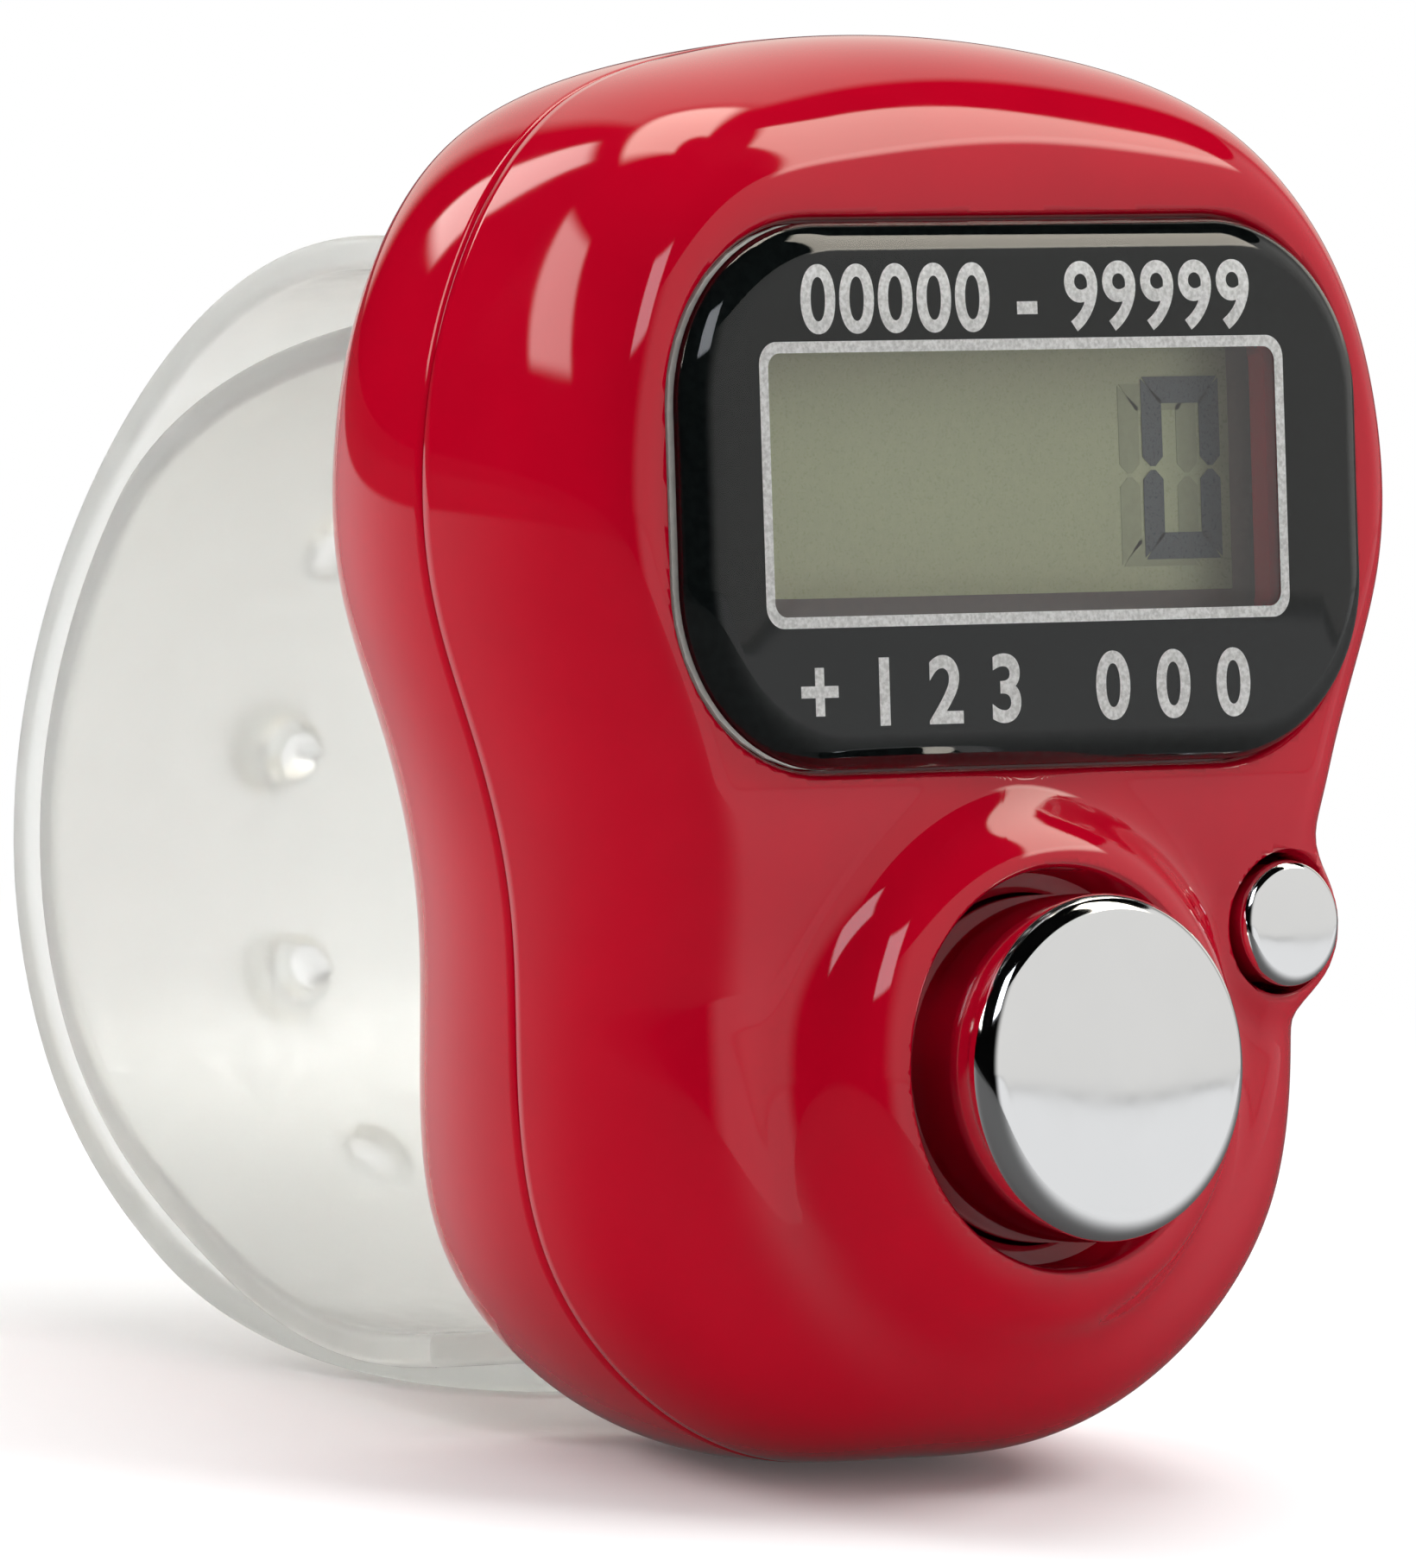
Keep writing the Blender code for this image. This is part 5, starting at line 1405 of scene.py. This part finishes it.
def make_floor(studio):
    """A white table top under the leaning object, which ends at the object's right."""
    ahead, left = studio_axes(studio)
    far = 3.0
    right_end = -0.41
    slope, height = resting_line()
    places = ((-far, right_end), (far, right_end), (far, far), (-far, far))
    corners = [ahead * along + left * aside for along, aside in places]
    mesh = bpy.data.meshes.new("floor")
    mesh.from_pydata([(x, y, slope * y + height) for x, y, _ in corners], [], [(0, 1, 2, 3)])
    mesh.update()
    floor = new_object("floor", mesh)
    mesh.materials.append(floor_look(ahead, left))


def floor_look(ahead, left):
    """White where it is seen, but for the shadow near the object, and a glow where mirrored."""
    look, tree, main = shader("white_floor", {
        "Base Color": (0.90, 0.90, 0.90, 1.0), "Roughness": 0.9, "Specular IOR Level": 0.1
    })
    place = object_place(tree)
    reach = node(tree, "ShaderNodeVectorMath", {0: place}, operation="LENGTH").outputs["Value"]
    near = maths(tree, "MULTIPLY", eased(tree, reach, 0.025, 0.085), 0.95)
    fade = maths(tree, "SUBTRACT", 1.0, near)
    ray = node(tree, "ShaderNodeNewGeometry").outputs["Incoming"]
    # Where mirrored, the floor glows with painted light: bright towards two sides and dim
    # elsewhere, a painted reflection of the lit floor and of the shade on it
    parts = []
    for degrees, power, strength in ((55, 7.0, 0.95), (-95, 4.0, 0.8)):
        turn = math.radians(degrees)
        bright = ahead * -math.cos(turn) + left * -math.sin(turn)
        part = maths(tree, "MAXIMUM", dot(tree, ray, bright), 0.0)
        parts.append(maths(tree, "MULTIPLY", maths(tree, "POWER", part, power), strength))
    level = maths(tree, "ADD", summed(tree, parts), 0.05)
    within = eased(tree, dot(tree, place, left), 0.165, 0.185)
    level = maths(tree, "MULTIPLY", level, within)
    plain = directly_seen(tree)
    mirror = mirrored(tree)
    strength = maths(tree, "MAXIMUM", plain, maths(tree, "MULTIPLY", mirror, level))
    glow = node(tree, "ShaderNodeEmission", {"Strength": strength}).outputs[0]
    hard = maths(tree, "MULTIPLY", mirror, 0.94)
    share = maths(tree, "MAXIMUM", maths(tree, "MULTIPLY", fade, plain), hard)
    mix = node(tree, "ShaderNodeMixShader", {0: share, 1: main.outputs[0], 2: glow})
    tree.links.new(mix.outputs[0], tree.nodes["Material Output"].inputs["Surface"])
    return look


# Filled by the first operator that runs
LOOKS = {}
TREES = {}


def ready(context):
    """The settings, and the looks and the node trees, which are made when first wanted."""
    settings = context.scene.tally_counter
    if not LOOKS:
        LOOKS.update(make_looks(settings.finishes))
        TREES.update(turning=turning_tree(), path=path_tree(), segments=segment_tree())
    return settings, LOOKS, TREES


class COUNTER_OT_body(bpy.types.Operator):
    """Make the front and the rear of the moulded body"""

    bl_idname = "counter.body"
    bl_label = "Moulded Body"

    def execute(self, context):
        settings, looks, _ = ready(context)
        make_front(settings, looks["crimson_moulding"])
        make_rear(settings, looks["crimson_moulding"])
        return {"FINISHED"}


class COUNTER_OT_lens(bpy.types.Operator):
    """Make the clear lens with its printed border and marks"""

    bl_idname = "counter.lens"
    bl_label = "Lens"

    def execute(self, context):
        make_lens(ready(context)[1])
        return {"FINISHED"}


class COUNTER_OT_display(bpy.types.Operator):
    """Finish the display and set its digit"""

    bl_idname = "counter.display"
    bl_label = "Display"

    def execute(self, context):
        _, looks, trees = ready(context)
        make_display(looks, trees)
        return {"FINISHED"}


class COUNTER_OT_buttons(bpy.types.Operator):
    """Turn the count button and the reset button"""

    bl_idname = "counter.buttons"
    bl_label = "Buttons"

    def execute(self, context):
        settings, looks, trees = ready(context)
        make_count_button(settings.fineness.turn_steps, looks["chrome_plate"], trees)
        make_reset_button(looks["chrome_plate"], trees)
        return {"FINISHED"}


class COUNTER_OT_strap(bpy.types.Operator):
    """Make both halves of the strap and bend them round the finger's place"""

    bl_idname = "counter.strap"
    bl_label = "Strap"

    def execute(self, context):
        settings, looks, trees = ready(context)
        make_strap(settings, looks["milky_soft_plastic"], trees)
        return {"FINISHED"}


class COUNTER_OT_works(bpy.types.Operator):
    """Give the works inside the body their finishes"""

    bl_idname = "counter.works"
    bl_label = "Works"

    def execute(self, context):
        looks = ready(context)[1]
        for name, look in WORKS.items():
            materials = frame["nodes"][name].data.materials
            materials.clear()
            materials.append(looks[look])
        return {"FINISHED"}


class COUNTER_OT_studio(bpy.types.Operator):
    """Set the world, the floor, the lamps and the camera"""

    bl_idname = "counter.studio"
    bl_label = "Studio"

    def execute(self, context):
        studio = context.scene.tally_counter.studio
        context.scene.view_settings.view_transform = "Standard"
        make_world(studio)
        make_floor(studio)
        set_lamps(studio)
        set_camera(studio)
        return {"FINISHED"}


class COUNTER_PT_panel(bpy.types.Panel):
    """Lists the makers of the pieces"""

    bl_label = "Tally Counter"
    bl_idname = "COUNTER_PT_panel"
    bl_space_type = "VIEW_3D"
    bl_region_type = "UI"
    bl_category = "Tally Counter"

    def draw(self, context):
        for maker in MAKERS:
            self.layout.operator(maker.bl_idname)


MAKERS = (
    COUNTER_OT_body,
    COUNTER_OT_lens,
    COUNTER_OT_display,
    COUNTER_OT_buttons,
    COUNTER_OT_strap,
    COUNTER_OT_works,
    COUNTER_OT_studio,
)
GROUPS = (BodySizes, StrapSizes, Finishes, StudioSettings, Fineness, CounterSettings)
CLASSES = (*GROUPS, *MAKERS, COUNTER_PT_panel)


def register():
    for item in CLASSES:
        bpy.utils.register_class(item)
    bpy.types.Scene.tally_counter = PointerProperty(
        type=CounterSettings, name="Tally Counter", description="Settings of the counter"
    )


def unregister():
    del bpy.types.Scene.tally_counter
    for item in reversed(CLASSES):
        bpy.utils.unregister_class(item)


def main():
    register()
    bpy.ops.counter.body()
    bpy.ops.counter.lens()
    bpy.ops.counter.display()
    bpy.ops.counter.buttons()
    bpy.ops.counter.strap()
    bpy.ops.counter.works()
    bpy.ops.counter.studio()
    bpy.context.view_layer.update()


if __name__ == "__main__":
    main()
